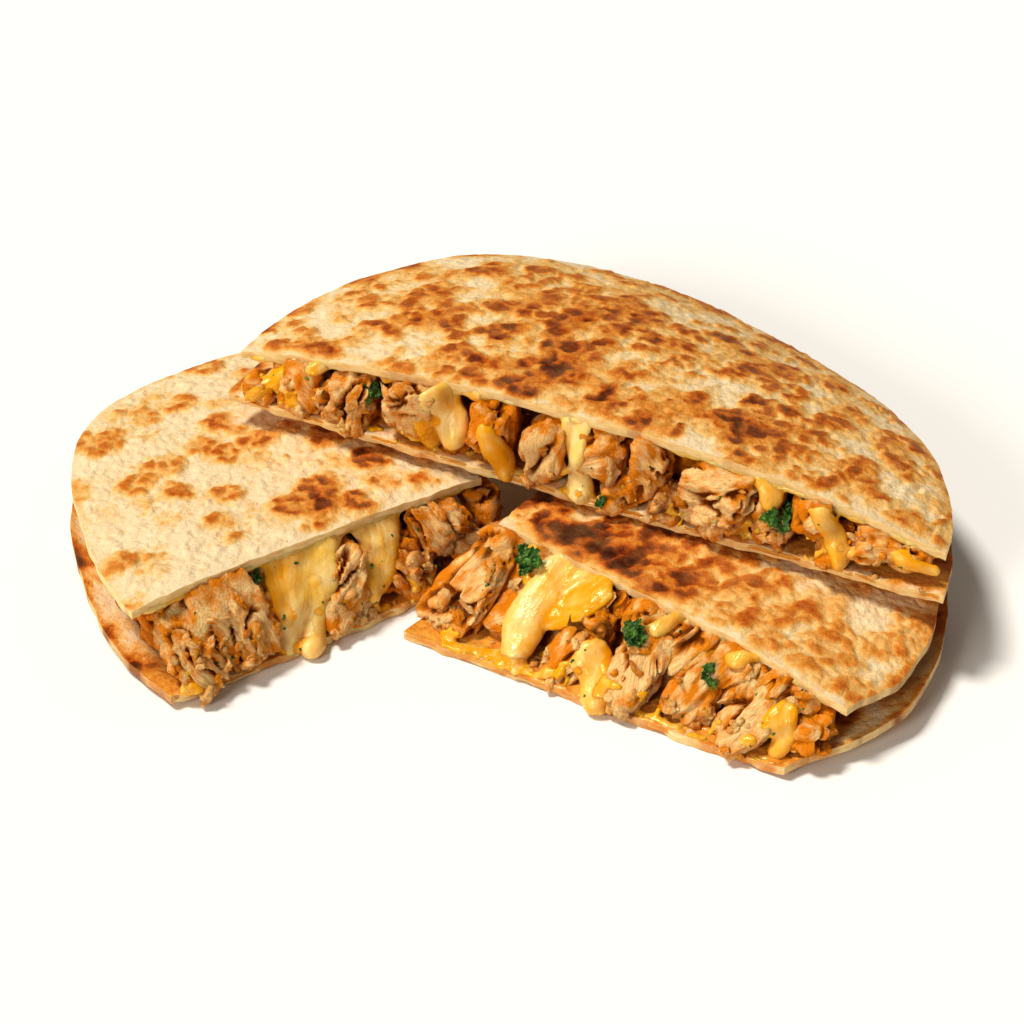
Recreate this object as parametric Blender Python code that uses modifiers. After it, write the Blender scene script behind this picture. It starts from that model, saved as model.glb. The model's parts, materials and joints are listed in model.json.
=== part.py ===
"""Chicken and cheese quesadilla, cut and stacked.

Two toasted flour tortillas hold chopped chicken under melted cheese.  One half lies across
two quarters, whose cut faces open towards -Y.  Each slice is four layers: a bottom tortilla,
the chicken filling, the melted cheese and a top tortilla.  +Z is up, +X runs along the
longest side, and the origin is at the middle of the footprint, on the table.
"""

import math
from dataclasses import dataclass

import bmesh
import bpy
from mathutils import Vector, noise

MM = 0.001

# Driving sizes
TORTILLA_THICK = 2.6 * MM
CHEESE_THICK = 2.8 * MM
LAYER_GAP = 0.7 * MM
PRESS_GAP = 0.9 * MM
RIM_RADIUS = 118 * MM
FILLING_REACH = 0.90
CHEESE_REACH = 0.93
CHEESE_STANDOFF = 3.4 * MM
FACE_INSET = 2.5

# Divisions of each layer's grid; a half takes twice a quarter's columns
TORTILLA_COLUMNS = 9
TORTILLA_ROWS = 9
FILLING_COLUMNS = 13
FILLING_ROWS = 11
FILLING_LEVELS = 3
CHEESE_COLUMNS = 15
CHEESE_ROWS = 6
TONGUE_ROWS = 3

# Where the slices lie on the table
HALF_CENTRE = (23.4 * MM, -11.3 * MM)
LEFT_CORNER = (-5.6 * MM, -1.3 * MM)
LEFT_LOW_CORNER = (-3.6 * MM, -17.8 * MM)
RIGHT_CORNER = (-0.6 * MM, -23.3 * MM)
RIGHT_LOW_CORNER = (-27.1 * MM, -46.3 * MM)

# The half: heights above the table
HALF_MIDDLE = 34.5 * MM
HALF_TILT = 4 * MM
HALF_DROOP = 27 * MM
DROOP_AT = math.radians(68)
DROOP_SPREAD = math.radians(42)

COLOURS = {
    "toasted_tortilla": ((0.78, 0.56, 0.33, 1.0), 0.62),
    "pale_tortilla": ((0.84, 0.70, 0.48, 1.0), 0.66),
    "chicken": ((0.74, 0.44, 0.24, 1.0), 0.48),
    "melted_cheese": ((0.90, 0.66, 0.25, 1.0), 0.25),
}


def unit(angle):
    """Unit vector in the table's plane."""
    return Vector((math.cos(angle), math.sin(angle)))


def lerp(start, end, share):
    """Value a given share of the way from start to end."""
    return start + (end - start) * share


def soft_min(first, second, blend):
    """Smaller of two heights, with a rounded change from one to the other."""
    share = min(max(0.5 + 0.5 * (second - first) / blend, 0.0), 1.0)
    return lerp(second, first, share) - blend * share * (1.0 - share)


def bell(value, width):
    """Bell curve, 1 at zero."""
    return math.exp(-((value / width) ** 2))


@dataclass(frozen=True)
class Swell:
    """Uneven rim: share of the radius added round a heading, both angles in degrees."""

    amount: float
    heading: float
    spread: float


@dataclass(frozen=True)
class Plan:
    """Outline of one layer: two straight cuts from an inner corner to a round rim."""

    corner: tuple
    centre: tuple
    radius: float
    start: float
    sweep: float
    swells: tuple = ()

    def edges(self):
        """Directions of the shown cut and of the other axis of the grid."""
        across = self.sweep if abs(self.sweep) < math.pi else self.sweep / 2
        return unit(self.start), unit(self.start + across)

    def outward(self):
        """Direction in which the shown cut face looks."""
        return unit(self.start - math.copysign(math.pi / 2, self.sweep))

    def reach(self, direction):
        """Distance from the inner corner to the rim along a direction."""
        offset = Vector(self.corner) - Vector(self.centre)
        along = offset.dot(direction)
        reach = -along + math.sqrt(along ** 2 - offset.length_squared + self.radius ** 2)
        growth = 1.0
        for swell in self.swells:
            turn = unit(math.radians(swell.heading)).angle_signed(direction)
            growth += swell.amount * bell(turn, math.radians(swell.spread))
        return reach * growth

    def point(self, across, depth):
        """Point of the plan: across runs along the shown cut, depth away from it."""
        flat_x = across * math.sqrt(1.0 - depth * depth / 2)
        flat_y = depth * math.sqrt(1.0 - across * across / 2)
        edge, side = self.edges()
        ray = edge * flat_x + side * flat_y
        if ray.length < 1e-9:
            return Vector(self.corner)
        direction = ray.normalized()
        share = math.hypot(flat_x, flat_y)
        return Vector(self.corner) + direction * self.reach(direction) * share

    def lowest_across(self):
        """Grid value at the start of the shown cut: -1 on a half, 0 on a quarter."""
        return -1.0 if abs(self.sweep) >= math.pi - 1e-6 else 0.0


# The half


def half_polar(x, y):
    """Share of the half's radius and angle from its right tip, at a point of the table."""
    ray = Vector((x, y)) - Vector(HALF_CENTRE)
    angle = math.atan2(ray.y, ray.x) - HALF_TOP.start
    angle = (angle + math.pi / 2) % (2 * math.pi) - math.pi / 2
    return ray.length / RIM_RADIUS, angle


def half_middle(x, y):
    """Height of the half's middle surface: tilted, and drooping off the back right."""
    share, angle = half_polar(x, y)
    droop = HALF_DROOP * bell(angle - DROOP_AT, DROOP_SPREAD)
    tilt = HALF_TILT * share * math.cos(angle)
    return HALF_MIDDLE - tilt - droop * share ** 3


def half_top(x, y):
    """Height of the half's upper face."""
    share = min(half_polar(x, y)[0], 1.05)
    return half_middle(x, y) + 6 * MM + 12.5 * MM * (1.0 - share ** 2.2)


def half_bottom(x, y):
    """Height of the half's underside."""
    share, angle = half_polar(x, y)
    share = min(share, 1.05)
    rim = (6.5 - 1.5 * math.cos(angle)) * MM
    return half_middle(x, y) - rim - (8.5 * MM - rim) * (1.0 - share ** 2)


# The quarters


@dataclass(frozen=True)
class Quarter:
    """Heights of a quarter, which lies flat on the table and is pressed by the half."""

    corner: tuple
    start: float
    sweep: float
    corner_height: float
    first_rim: float
    last_rim: float
    crown: float
    lift: float

    def top(self, x, y):
        """Height of the upper face."""
        ray = Vector((x, y)) - Vector(self.corner)
        share = min(ray.length / RIM_RADIUS, 1.08)
        turn = 0.0
        if ray.length > 1e-6:
            turn = unit(self.start).angle_signed(ray.normalized()) * -1.0
        along = min(max(turn / self.sweep, 0.0), 1.0)
        rim = lerp(self.first_rim, self.last_rim, along)
        dome = lerp(self.corner_height, rim, share) + 4 * self.crown * share * (1.0 - share)
        return soft_min(dome, half_bottom(x, y) - PRESS_GAP, 3 * MM)

    def bottom(self, x, y):
        """Height of the underside: flat on the table, with a slightly lifted rim."""
        share = (Vector((x, y)) - Vector(self.corner)).length / RIM_RADIUS
        return self.lift * max(share - 0.8, 0.0) ** 2 / 0.04


HALF_START = math.radians(-24.4)
HALF_SWELLS = (Swell(-0.10, 16, 34), Swell(0.035, 88, 30))
HALF_TOP = Plan(HALF_CENTRE, HALF_CENTRE, 110 * MM, HALF_START, math.pi, HALF_SWELLS)
HALF_LOW = Plan(
    tuple(Vector(HALF_CENTRE) + HALF_TOP.outward() * 6 * MM),
    HALF_CENTRE,
    112 * MM,
    HALF_START,
    math.pi,
    HALF_SWELLS,
)

LEFT_START = math.radians(214.6)
LEFT_SWEEP = math.radians(-86)
LEFT_TOP = Plan(
    LEFT_CORNER,
    LEFT_CORNER,
    114 * MM,
    LEFT_START,
    LEFT_SWEEP,
    (Swell(0.10, 162, 19), Swell(-0.04, 128, 14)),
)
LEFT_LOW = Plan(
    LEFT_LOW_CORNER,
    LEFT_CORNER,
    115 * MM,
    LEFT_START,
    LEFT_SWEEP,
    (Swell(0.07, 160, 19), Swell(-0.03, 128, 14), Swell(-0.02, 214, 9)),
)
LEFT = Quarter(
    LEFT_CORNER, LEFT_START, LEFT_SWEEP, 25.5 * MM, 25.5 * MM, 15 * MM, 3 * MM, 3 * MM
)

RIGHT_START = math.radians(-38.7)
RIGHT_SWEEP = math.radians(90)
RIGHT_TOP = Plan(RIGHT_CORNER, RIGHT_CORNER, 123 * MM, RIGHT_START, RIGHT_SWEEP)
RIGHT_LOW = Plan(
    RIGHT_LOW_CORNER,
    RIGHT_CORNER,
    128 * MM,
    math.radians(-30),
    math.radians(80),
    (Swell(-0.13, -30, 9),),
)
RIGHT = Quarter(
    RIGHT_CORNER, RIGHT_START, RIGHT_SWEEP, 25.5 * MM, 18 * MM, 17 * MM, 4 * MM, 3 * MM
)


@dataclass(frozen=True)
class Tongue:
    """Tongue of cheese that hangs over a cut face: place and half width along the cut."""

    along: float
    half_width: float
    length: float


@dataclass(frozen=True)
class Slice:
    """One slice: its outlines, its heights and its cheese."""

    name: str
    top_plan: Plan
    low_plan: Plan
    top: object
    bottom: object
    seed: float
    tongues: tuple


SLICES = (
    Slice(
        "half",
        HALF_TOP,
        HALF_LOW,
        half_top,
        half_bottom,
        3.0,
        (
            Tongue(-0.42, 0.07, 17 * MM),
            Tongue(-0.26, 0.04, 25 * MM),
            Tongue(-0.04, 0.05, 25 * MM),
            Tongue(0.66, 0.05, 14 * MM),
        ),
    ),
    Slice(
        "left",
        LEFT_TOP,
        LEFT_LOW,
        LEFT.top,
        LEFT.bottom,
        11.0,
        (Tongue(0.50, 0.11, 19 * MM), Tongue(0.27, 0.07, 14 * MM)),
    ),
    Slice(
        "right",
        RIGHT_TOP,
        RIGHT_LOW,
        RIGHT.top,
        RIGHT.bottom,
        23.0,
        (
            Tongue(0.16, 0.08, 14 * MM),
            Tongue(0.36, 0.06, 16 * MM),
            Tongue(0.86, 0.07, 12 * MM),
        ),
    ),
)


# Building tools


def clear_scene():
    """Remove every object, so that the script starts from an empty scene."""
    for item in list(bpy.data.objects):
        bpy.data.objects.remove(item, do_unlink=True)


def make_material(name):
    """Principled material with the finish's base colour and roughness."""
    colour, roughness = COLOURS[name]
    material = bpy.data.materials.new(name)
    material.use_nodes = True
    shader = material.node_tree.nodes["Principled BSDF"]
    shader.inputs["Base Color"].default_value = colour
    shader.inputs["Roughness"].default_value = roughness
    shader.inputs["Metallic"].default_value = 0.0
    return material


def grid_mesh(plan, columns, rows):
    """Square grid whose vertices carry their place along and away from the shown cut."""
    mesh = bmesh.new()
    bmesh.ops.create_grid(mesh, x_segments=columns, y_segments=rows, size=0.5)
    across = mesh.verts.layers.float.new("across")
    depth = mesh.verts.layers.float.new("depth")
    for vert in mesh.verts:
        vert[across] = lerp(plan.lowest_across(), 1.0, vert.co.x + 0.5)
        vert[depth] = vert.co.y + 0.5
    return mesh, across, depth


def add_object(mesh, name, material, collection, parent):
    """Turn a bmesh into a named, smoothly shaded object under the slice's empty."""
    data = bpy.data.meshes.new(name)
    mesh.to_mesh(data)
    mesh.free()
    data.materials.append(material)
    data.shade_smooth()
    item = bpy.data.objects.new(name, data)
    collection.objects.link(item)
    item.parent = parent
    return item


def thicken(item, thickness, offset):
    """Give an open sheet its thickness, below it at an offset of -1 and above it at 1."""
    shell = item.modifiers.new("thickness", "SOLIDIFY")
    shell.thickness = thickness
    shell.offset = offset


def face_upward(mesh):
    """Turn an open sheet so that its faces look up."""
    mesh.normal_update()
    bmesh.ops.recalc_face_normals(mesh, faces=mesh.faces[:])
    if sum(face.normal.z for face in mesh.faces) < 0:
        bmesh.ops.reverse_faces(mesh, faces=mesh.faces[:])


def tortilla(piece, upper, material, collection, parent):
    """Tortilla of one slice: a curved sheet given its thickness."""
    plan = piece.top_plan if upper else piece.low_plan
    height = piece.top if upper else piece.bottom
    is_quarter = plan.lowest_across() == 0.0
    columns = TORTILLA_COLUMNS if is_quarter else 2 * TORTILLA_COLUMNS
    mesh, across, depth = grid_mesh(plan, columns, TORTILLA_ROWS)
    for vert in mesh.verts:
        place = plan.point(vert[across], vert[depth])
        vert.co = (place.x, place.y, height(place.x, place.y))
    face_upward(mesh)
    layer = "top" if upper else "bottom"
    name = f"{piece.name}_{layer}_tortilla"
    item = add_object(mesh, name, material, collection, parent)
    thicken(item, TORTILLA_THICK, -1.0 if upper else 1.0)
    return item


def steepness(height, x, y):
    """Height taken up, on the slope of a surface, by one unit of thickness."""
    step = 1 * MM
    rise_x = (height(x + step, y) - height(x - step, y)) / (2 * step)
    rise_y = (height(x, y + step) - height(x, y - step)) / (2 * step)
    return math.sqrt(1.0 + rise_x ** 2 + rise_y ** 2)


def cheese_underside(piece, x, y):
    """Height of the cheese layer's underside."""
    depth = TORTILLA_THICK + LAYER_GAP + CHEESE_THICK
    return piece.top(x, y) - depth * steepness(piece.top, x, y)


def filling_floor(piece, x, y):
    """Height of the filling's underside, on the bottom tortilla."""
    rise = TORTILLA_THICK + LAYER_GAP
    return piece.bottom(x, y) + rise * steepness(piece.bottom, x, y)


def filling_ceiling(piece, x, y):
    """Height of the filling's upper face, under the cheese."""
    floor = filling_floor(piece, x, y)
    return max(cheese_underside(piece, x, y) - LAYER_GAP, floor + 1 * MM)


def lump(piece, place, level):
    """How far the chicken stands out of a cut face or shrinks back from it."""
    sample = Vector((place.x, place.y, level * 0.018 + piece.seed))
    coarse = noise.noise(sample * 75)
    fine = noise.noise(sample * 160 + Vector((7, 3, 1)))
    return (3.4 * coarse + 1.6 * fine - FACE_INSET) * MM


def near_edge(share):
    """1 on a cut edge, falling to 0 an eighth of the way into the slice."""
    return max(1.0 - share * 8, 0.0)


def filling(piece, material, collection, parent):
    """Chicken filling: a slab that runs through the slice, with lumpy cut faces."""
    is_quarter = piece.top_plan.lowest_across() == 0.0
    columns = FILLING_COLUMNS if is_quarter else 2 * FILLING_COLUMNS
    mesh, across, depth = grid_mesh(piece.low_plan, columns, FILLING_ROWS)
    outward = piece.top_plan.outward()
    sideways = piece.top_plan.edges()[0]

    def place_verts(verts, level):
        """Put one level's vertices between the bottom outline and the top one."""
        for vert in verts:
            along = vert[across] * FILLING_REACH
            inward = vert[depth] * FILLING_REACH
            low = piece.low_plan.point(along, inward)
            flat = low.lerp(piece.top_plan.point(along, inward), level)
            relief = lump(piece, flat, level)
            front = near_edge(vert[depth])
            side = near_edge(vert[across]) * (1.0 - front) if is_quarter else 0.0
            flat += (outward * front - sideways * side) * relief
            floor = filling_floor(piece, flat.x, flat.y)
            ceiling = filling_ceiling(piece, flat.x, flat.y)
            vert.co = (flat.x, flat.y, lerp(floor, ceiling, level))

    place_verts(mesh.verts, 0.0)
    region = mesh.verts[:] + mesh.edges[:] + mesh.faces[:]
    for step in range(1, FILLING_LEVELS + 1):
        region = bmesh.ops.extrude_face_region(mesh, geom=region)["geom"]
        fresh = [item for item in region if isinstance(item, bmesh.types.BMVert)]
        place_verts(fresh, step / FILLING_LEVELS)
    bmesh.ops.recalc_face_normals(mesh, faces=mesh.faces[:])
    item = add_object(mesh, f"{piece.name}_chicken", material, collection, parent)
    item.data.set_sharp_from_angle(angle=math.radians(50))
    return item


def cheese(piece, material, collection, parent):
    """Melted cheese: a layer under the top tortilla whose tongues hang over the cut face."""
    plan = piece.top_plan
    is_quarter = plan.lowest_across() == 0.0
    columns = CHEESE_COLUMNS if is_quarter else 2 * CHEESE_COLUMNS
    mesh, across, depth = grid_mesh(plan, columns, CHEESE_ROWS + TONGUE_ROWS)
    for vert in mesh.verts:
        row = round(vert[depth] * (CHEESE_ROWS + TONGUE_ROWS))
        along = vert[across] * CHEESE_REACH
        inward = max(row - TONGUE_ROWS, 0) / CHEESE_ROWS * CHEESE_REACH
        flat = plan.point(along, inward)
        height = cheese_underside(piece, flat.x, flat.y)
        if row < TONGUE_ROWS:
            hang = (TONGUE_ROWS - row) / TONGUE_ROWS
            flat, height = tongue_point(piece, along, hang, flat, height)
        vert.co = (flat.x, flat.y, height)
    face_upward(mesh)
    item = add_object(mesh, f"{piece.name}_cheese", material, collection, parent)
    thicken(item, CHEESE_THICK, 1.0)
    return item


def tongue_point(piece, along, hang, edge, height):
    """Place on the cheese's hanging edge, from 0 at the cut to 1 at the lowest tip."""
    drop = 2.0 * MM
    for tongue in piece.tongues:
        drop += tongue.length * bell(along - tongue.along, tongue.half_width)
    floor = filling_floor(piece, edge.x, edge.y) + LAYER_GAP
    fallen = max(height - drop * hang, floor)
    level = (fallen - floor) / (height - floor)
    standoff = piece.top_plan.outward() * CHEESE_STANDOFF * min(hang * 3, 1.0)
    return piece.low_plan.point(along, 0.0).lerp(edge, level) + standoff, fallen


def build():
    """Build the three slices, each under its own empty."""
    clear_scene()
    collection = bpy.data.collections.new("quesadilla")
    bpy.context.scene.collection.children.link(collection)
    materials = {name: make_material(name) for name in COLOURS}
    for piece in SLICES:
        parent = bpy.data.objects.new(f"{piece.name}_slice", None)
        collection.objects.link(parent)
        tortilla(piece, False, materials["pale_tortilla"], collection, parent)
        filling(piece, materials["chicken"], collection, parent)
        cheese(piece, materials["melted_cheese"], collection, parent)
        tortilla(piece, True, materials["toasted_tortilla"], collection, parent)


build()
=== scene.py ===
"""Looks of a chicken and cheese quesadilla, cut in a half that lies across two quarters."""

import json
import logging
import math
from dataclasses import dataclass, field
from enum import Enum

import bpy
import numpy as np
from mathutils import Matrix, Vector
from mathutils.bvhtree import BVHTree
from mathutils.kdtree import KDTree

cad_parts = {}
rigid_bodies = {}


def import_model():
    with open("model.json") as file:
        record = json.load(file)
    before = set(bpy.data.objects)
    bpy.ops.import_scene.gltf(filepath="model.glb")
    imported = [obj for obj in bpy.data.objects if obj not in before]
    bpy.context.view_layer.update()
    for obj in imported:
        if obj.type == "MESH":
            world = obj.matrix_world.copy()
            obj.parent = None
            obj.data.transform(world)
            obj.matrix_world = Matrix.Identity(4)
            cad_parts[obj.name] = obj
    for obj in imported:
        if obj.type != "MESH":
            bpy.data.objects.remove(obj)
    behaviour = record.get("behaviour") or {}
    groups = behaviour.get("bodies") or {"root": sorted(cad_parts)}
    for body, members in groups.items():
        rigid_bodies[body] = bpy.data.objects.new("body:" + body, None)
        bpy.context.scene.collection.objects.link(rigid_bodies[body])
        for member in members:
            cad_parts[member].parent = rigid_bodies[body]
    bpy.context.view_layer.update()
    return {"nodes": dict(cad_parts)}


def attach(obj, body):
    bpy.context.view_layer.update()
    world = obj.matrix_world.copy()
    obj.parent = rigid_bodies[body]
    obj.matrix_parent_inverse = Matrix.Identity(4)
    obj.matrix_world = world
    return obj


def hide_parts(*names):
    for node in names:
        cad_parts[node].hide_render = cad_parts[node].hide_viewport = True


LOG = logging.getLogger("quesadilla")
MM = 0.001

TORTILLA_THICK = 2.6 * MM
PRESS_GAP = 0.9 * MM  # between the half's underside and the quarter below it
RIM_RADIUS = 118 * MM  # of the shared heights, a little more than the tortillas' own
MOST_CELLS = 46_000  # of one tortilla's grid, which keeps it under 200,000 triangles


# Numbers and noise


def unit(degrees: float) -> np.ndarray:
    """Unit vector in the table's plane at an angle in degrees."""
    return np.array([math.cos(math.radians(degrees)), math.sin(math.radians(degrees))])


def bell(value: np.ndarray, width: float) -> np.ndarray:
    """Bell curve, 1 at zero."""
    return np.exp(-((value / width) ** 2))


def smooth_step(low: float, high: float, value: np.ndarray) -> np.ndarray:
    """Change from 0 at low to 1 at high, with soft ends; low may be the larger."""
    share = np.clip((value - low) / (high - low), 0.0, 1.0)
    return share * share * (3.0 - 2.0 * share)


def turned(angle: np.ndarray) -> np.ndarray:
    """Angle in degrees brought to between -180 and 180."""
    return (angle + 180.0) % 360.0 - 180.0


def lengths(rows: np.ndarray) -> np.ndarray:
    """Length of each row, never quite 0, as a column."""
    return np.maximum(np.linalg.norm(rows, axis=1, keepdims=True), 1e-6)


class Noise:
    """Repeatable noise over points in space."""

    def __init__(self, seed: int) -> None:
        """Draw the noise's table of directions.

        Args:
            seed: number that fixes the pattern.
        """
        rng = np.random.default_rng(seed)
        table = rng.normal(size=(256, 3))
        self.directions = table / np.linalg.norm(table, axis=1, keepdims=True)
        self.points = rng.random((256, 3))
        self.order = rng.permutation(256)

    def _cell(self, cell: np.ndarray) -> np.ndarray:
        """Table row of each whole-number cell.

        Args:
            cell: rows of three whole numbers.

        Returns:
            One row number a cell.
        """
        first = self.order[cell[:, 0] & 255]
        second = self.order[(first + cell[:, 1]) & 255]
        return self.order[(second + cell[:, 2]) & 255]

    def smooth(self, points: np.ndarray) -> np.ndarray:
        """Gradient noise, about -1 to 1.

        Args:
            points: rows of x, y, z in cells.

        Returns:
            One value a row.
        """
        base = np.floor(points).astype(np.int64)
        part = points - base
        fade = part ** 3 * (part * (part * 6 - 15) + 10)
        total = np.zeros(len(points))
        for corner in np.ndindex(2, 2, 2):
            step = np.array(corner)
            weight = np.prod(np.where(step == 1, fade, 1.0 - fade), axis=1)
            slope = self.directions[self._cell(base + step)]
            total += weight * np.einsum("ij,ij->i", slope, part - step)
        return total * 1.7

    def layered(self, points: np.ndarray, octaves: int = 4) -> np.ndarray:
        """Noise summed over octaves, about -1 to 1.

        Args:
            points: rows of x, y, z in cells of the coarsest octave.
            octaves: number of layers, each twice as fine and half as strong.

        Returns:
            One value a row.
        """
        total = np.zeros(len(points))
        for octave in range(octaves):
            total += self.smooth(points * 2.0 ** octave + 17.3 * octave) * 0.5 ** octave
        return total / (2.0 - 0.5 ** (octaves - 1))

    def cells(self, points: np.ndarray) -> np.ndarray:
        """Distance to the nearest scattered point, 0 to about 1.

        Args:
            points: rows of x, y, z in cells.

        Returns:
            One distance a row.
        """
        base = np.floor(points).astype(np.int64)
        nearest = np.full(len(points), 9.0)
        for corner in np.ndindex(3, 3, 3):
            cell = base + np.array(corner) - 1
            gap = cell + self.points[self._cell(cell)] - points
            nearest = np.minimum(nearest, np.linalg.norm(gap, axis=1))
        return nearest


# The layout that the looks share with the solid parts


@dataclass(frozen=True)
class Swell:
    """Uneven rim: share of the radius added round a heading, both angles in degrees."""

    amount: float
    heading: float
    spread: float


@dataclass(frozen=True)
class Plan:
    """Outline of one layer: two straight cuts from an inner corner to a round rim."""

    corner: tuple[float, float]
    centre: tuple[float, float]
    radius: float
    start: float
    sweep: float
    swells: tuple[Swell, ...] = ()

    @property
    def is_half(self) -> bool:
        """True for a half, whose two cuts are one line."""
        return abs(self.sweep) >= 179.0

    @property
    def hand(self) -> float:
        """1 where the plan runs anticlockwise and -1 where it runs clockwise."""
        return math.copysign(1.0, self.sweep)

    def start_of_cut(self, quarter: float, half: float) -> float:
        """Where things begin along the cut: one place for a quarter and one for a half."""
        return half if self.is_half else quarter

    @property
    def edge(self) -> np.ndarray:
        """Direction of the shown cut."""
        return unit(self.start)

    @property
    def outward(self) -> np.ndarray:
        """Direction in which the shown cut face looks."""
        return unit(self.start - math.copysign(90.0, self.sweep))

    def growth(self, rays: np.ndarray) -> np.ndarray:
        """Share of the radius that the uneven rim has in each direction.

        Args:
            rays: rows of unit vectors.

        Returns:
            One share a row, 1 where the rim is round.
        """
        heading = np.degrees(np.arctan2(rays[:, 1], rays[:, 0]))
        growth = np.ones(len(rays))
        for swell in self.swells:
            growth += swell.amount * bell(turned(heading - swell.heading), swell.spread)
        return growth

    def reach(self, rays: np.ndarray) -> np.ndarray:
        """Distance from the inner corner to the rim.

        Args:
            rays: rows of unit vectors.

        Returns:
            One distance a row.
        """
        offset = np.array(self.corner) - np.array(self.centre)
        along = rays @ offset
        reach = -along + np.sqrt(along ** 2 - offset @ offset + self.radius ** 2)
        return reach * self.growth(rays)

    def point(self, across: np.ndarray, depth: np.ndarray) -> np.ndarray:
        """Points of the plan.

        Args:
            across: place along the shown cut, 0 or -1 to 1.
            depth: place away from it, 0 to 1.

        Returns:
            Rows of x, y.
        """
        flat_x = across * np.sqrt(1.0 - depth * depth / 2)
        flat_y = depth * np.sqrt(1.0 - across * across / 2)
        side = unit(self.start + (self.sweep / 2 if self.is_half else self.sweep))
        ray = np.outer(flat_x, self.edge) + np.outer(flat_y, side)
        length = np.maximum(np.linalg.norm(ray, axis=1, keepdims=True), 1e-9)
        ray = ray / length
        share = np.hypot(flat_x, flat_y)[:, None]
        return np.array(self.corner) + ray * self.reach(ray)[:, None] * share


HALF_CENTRE = (23.4 * MM, -11.3 * MM)
HALF_START = -24.4
HALF_SWELLS = (Swell(-0.10, 16, 34), Swell(0.035, 88, 30))
HALF_TOP = Plan(HALF_CENTRE, HALF_CENTRE, 110 * MM, HALF_START, 180.0, HALF_SWELLS)
HALF_LOW_CORNER = tuple(np.array(HALF_CENTRE) + HALF_TOP.outward * 6 * MM)
HALF_LOW = Plan(HALF_LOW_CORNER, HALF_CENTRE, 112 * MM, HALF_START, 180.0, HALF_SWELLS)


@dataclass(frozen=True)
class HalfForm:
    """Heights of the half, which is tilted and droops off the back right."""

    centre: tuple[float, float] = HALF_CENTRE
    start: float = HALF_START
    middle_height: float = 34.5 * MM
    tilt: float = 4 * MM
    droop: float = 27 * MM
    droop_at: float = 68.0
    droop_spread: float = 42.0
    rim_top: float = 6 * MM
    dome_top: float = 12.5 * MM
    belly: float = 8.5 * MM
    last_share: float = 1.05

    def polar(self, x: np.ndarray, y: np.ndarray) -> tuple[np.ndarray, np.ndarray]:
        """Places as seen from the middle of the cut.

        Args:
            x: places to the right.
            y: places to the back.

        Returns:
            Share of the radius, and angle in degrees from the right tip.
        """
        ray_x = x - self.centre[0]
        ray_y = y - self.centre[1]
        angle = np.degrees(np.arctan2(ray_y, ray_x)) - self.start
        return np.hypot(ray_x, ray_y) / RIM_RADIUS, (angle + 90.0) % 360.0 - 90.0

    def middle(self, x: np.ndarray, y: np.ndarray) -> np.ndarray:
        """Height of the surface halfway through the slice.

        Args:
            x: places to the right.
            y: places to the back.

        Returns:
            One height a place.
        """
        share, angle = self.polar(x, y)
        droop = self.droop * bell(angle - self.droop_at, self.droop_spread)
        tilt = self.tilt * share * np.cos(np.radians(angle))
        return self.middle_height - tilt - droop * share ** 3

    def top(self, x: np.ndarray, y: np.ndarray) -> np.ndarray:
        """Height of the upper face."""
        share = np.minimum(self.polar(x, y)[0], self.last_share)
        return self.middle(x, y) + self.rim_top + self.dome_top * (1.0 - share ** 2.2)

    def bottom(self, x: np.ndarray, y: np.ndarray) -> np.ndarray:
        """Height of the underside.

        Args:
            x: places to the right.
            y: places to the back.

        Returns:
            One height a place.
        """
        share, angle = self.polar(x, y)
        share = np.minimum(share, self.last_share)
        rim = (6.5 - 1.5 * np.cos(np.radians(angle))) * MM
        return self.middle(x, y) - rim - (self.belly - rim) * (1.0 - share ** 2)


HALF_FORM = HalfForm()


@dataclass(frozen=True)
class QuarterForm:
    """Heights of a quarter, which lies flat on the table and is pressed by the half."""

    corner: tuple[float, float]
    start: float
    sweep: float
    corner_height: float
    first_rim: float
    last_rim: float
    crown: float
    lift: float
    soft: float = 3 * MM

    def top(self, x: np.ndarray, y: np.ndarray) -> np.ndarray:
        """Height of the upper face: a low dome, pushed down where the half lies on it.

        Args:
            x: places to the right.
            y: places to the back.

        Returns:
            One height a place.
        """
        ray_x = x - self.corner[0]
        ray_y = y - self.corner[1]
        share = np.minimum(np.hypot(ray_x, ray_y) / RIM_RADIUS, 1.08)
        turn = turned(np.degrees(np.arctan2(ray_y, ray_x)) - self.start)
        along = np.clip(turn / self.sweep, 0.0, 1.0)
        rim = self.first_rim + (self.last_rim - self.first_rim) * along
        dome = self.corner_height + (rim - self.corner_height) * share
        dome = dome + 4 * self.crown * share * (1.0 - share)
        limit = HALF_FORM.bottom(x, y) - PRESS_GAP
        mix = np.clip(0.5 + 0.5 * (limit - dome) / self.soft, 0.0, 1.0)
        return limit + (dome - limit) * mix - self.soft * mix * (1.0 - mix)

    def bottom(self, x: np.ndarray, y: np.ndarray) -> np.ndarray:
        """Height of the underside: flat on the table, with a slightly lifted rim."""
        share = np.hypot(x - self.corner[0], y - self.corner[1]) / RIM_RADIUS
        return self.lift * np.maximum(share - 0.8, 0.0) ** 2 / 0.04


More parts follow.
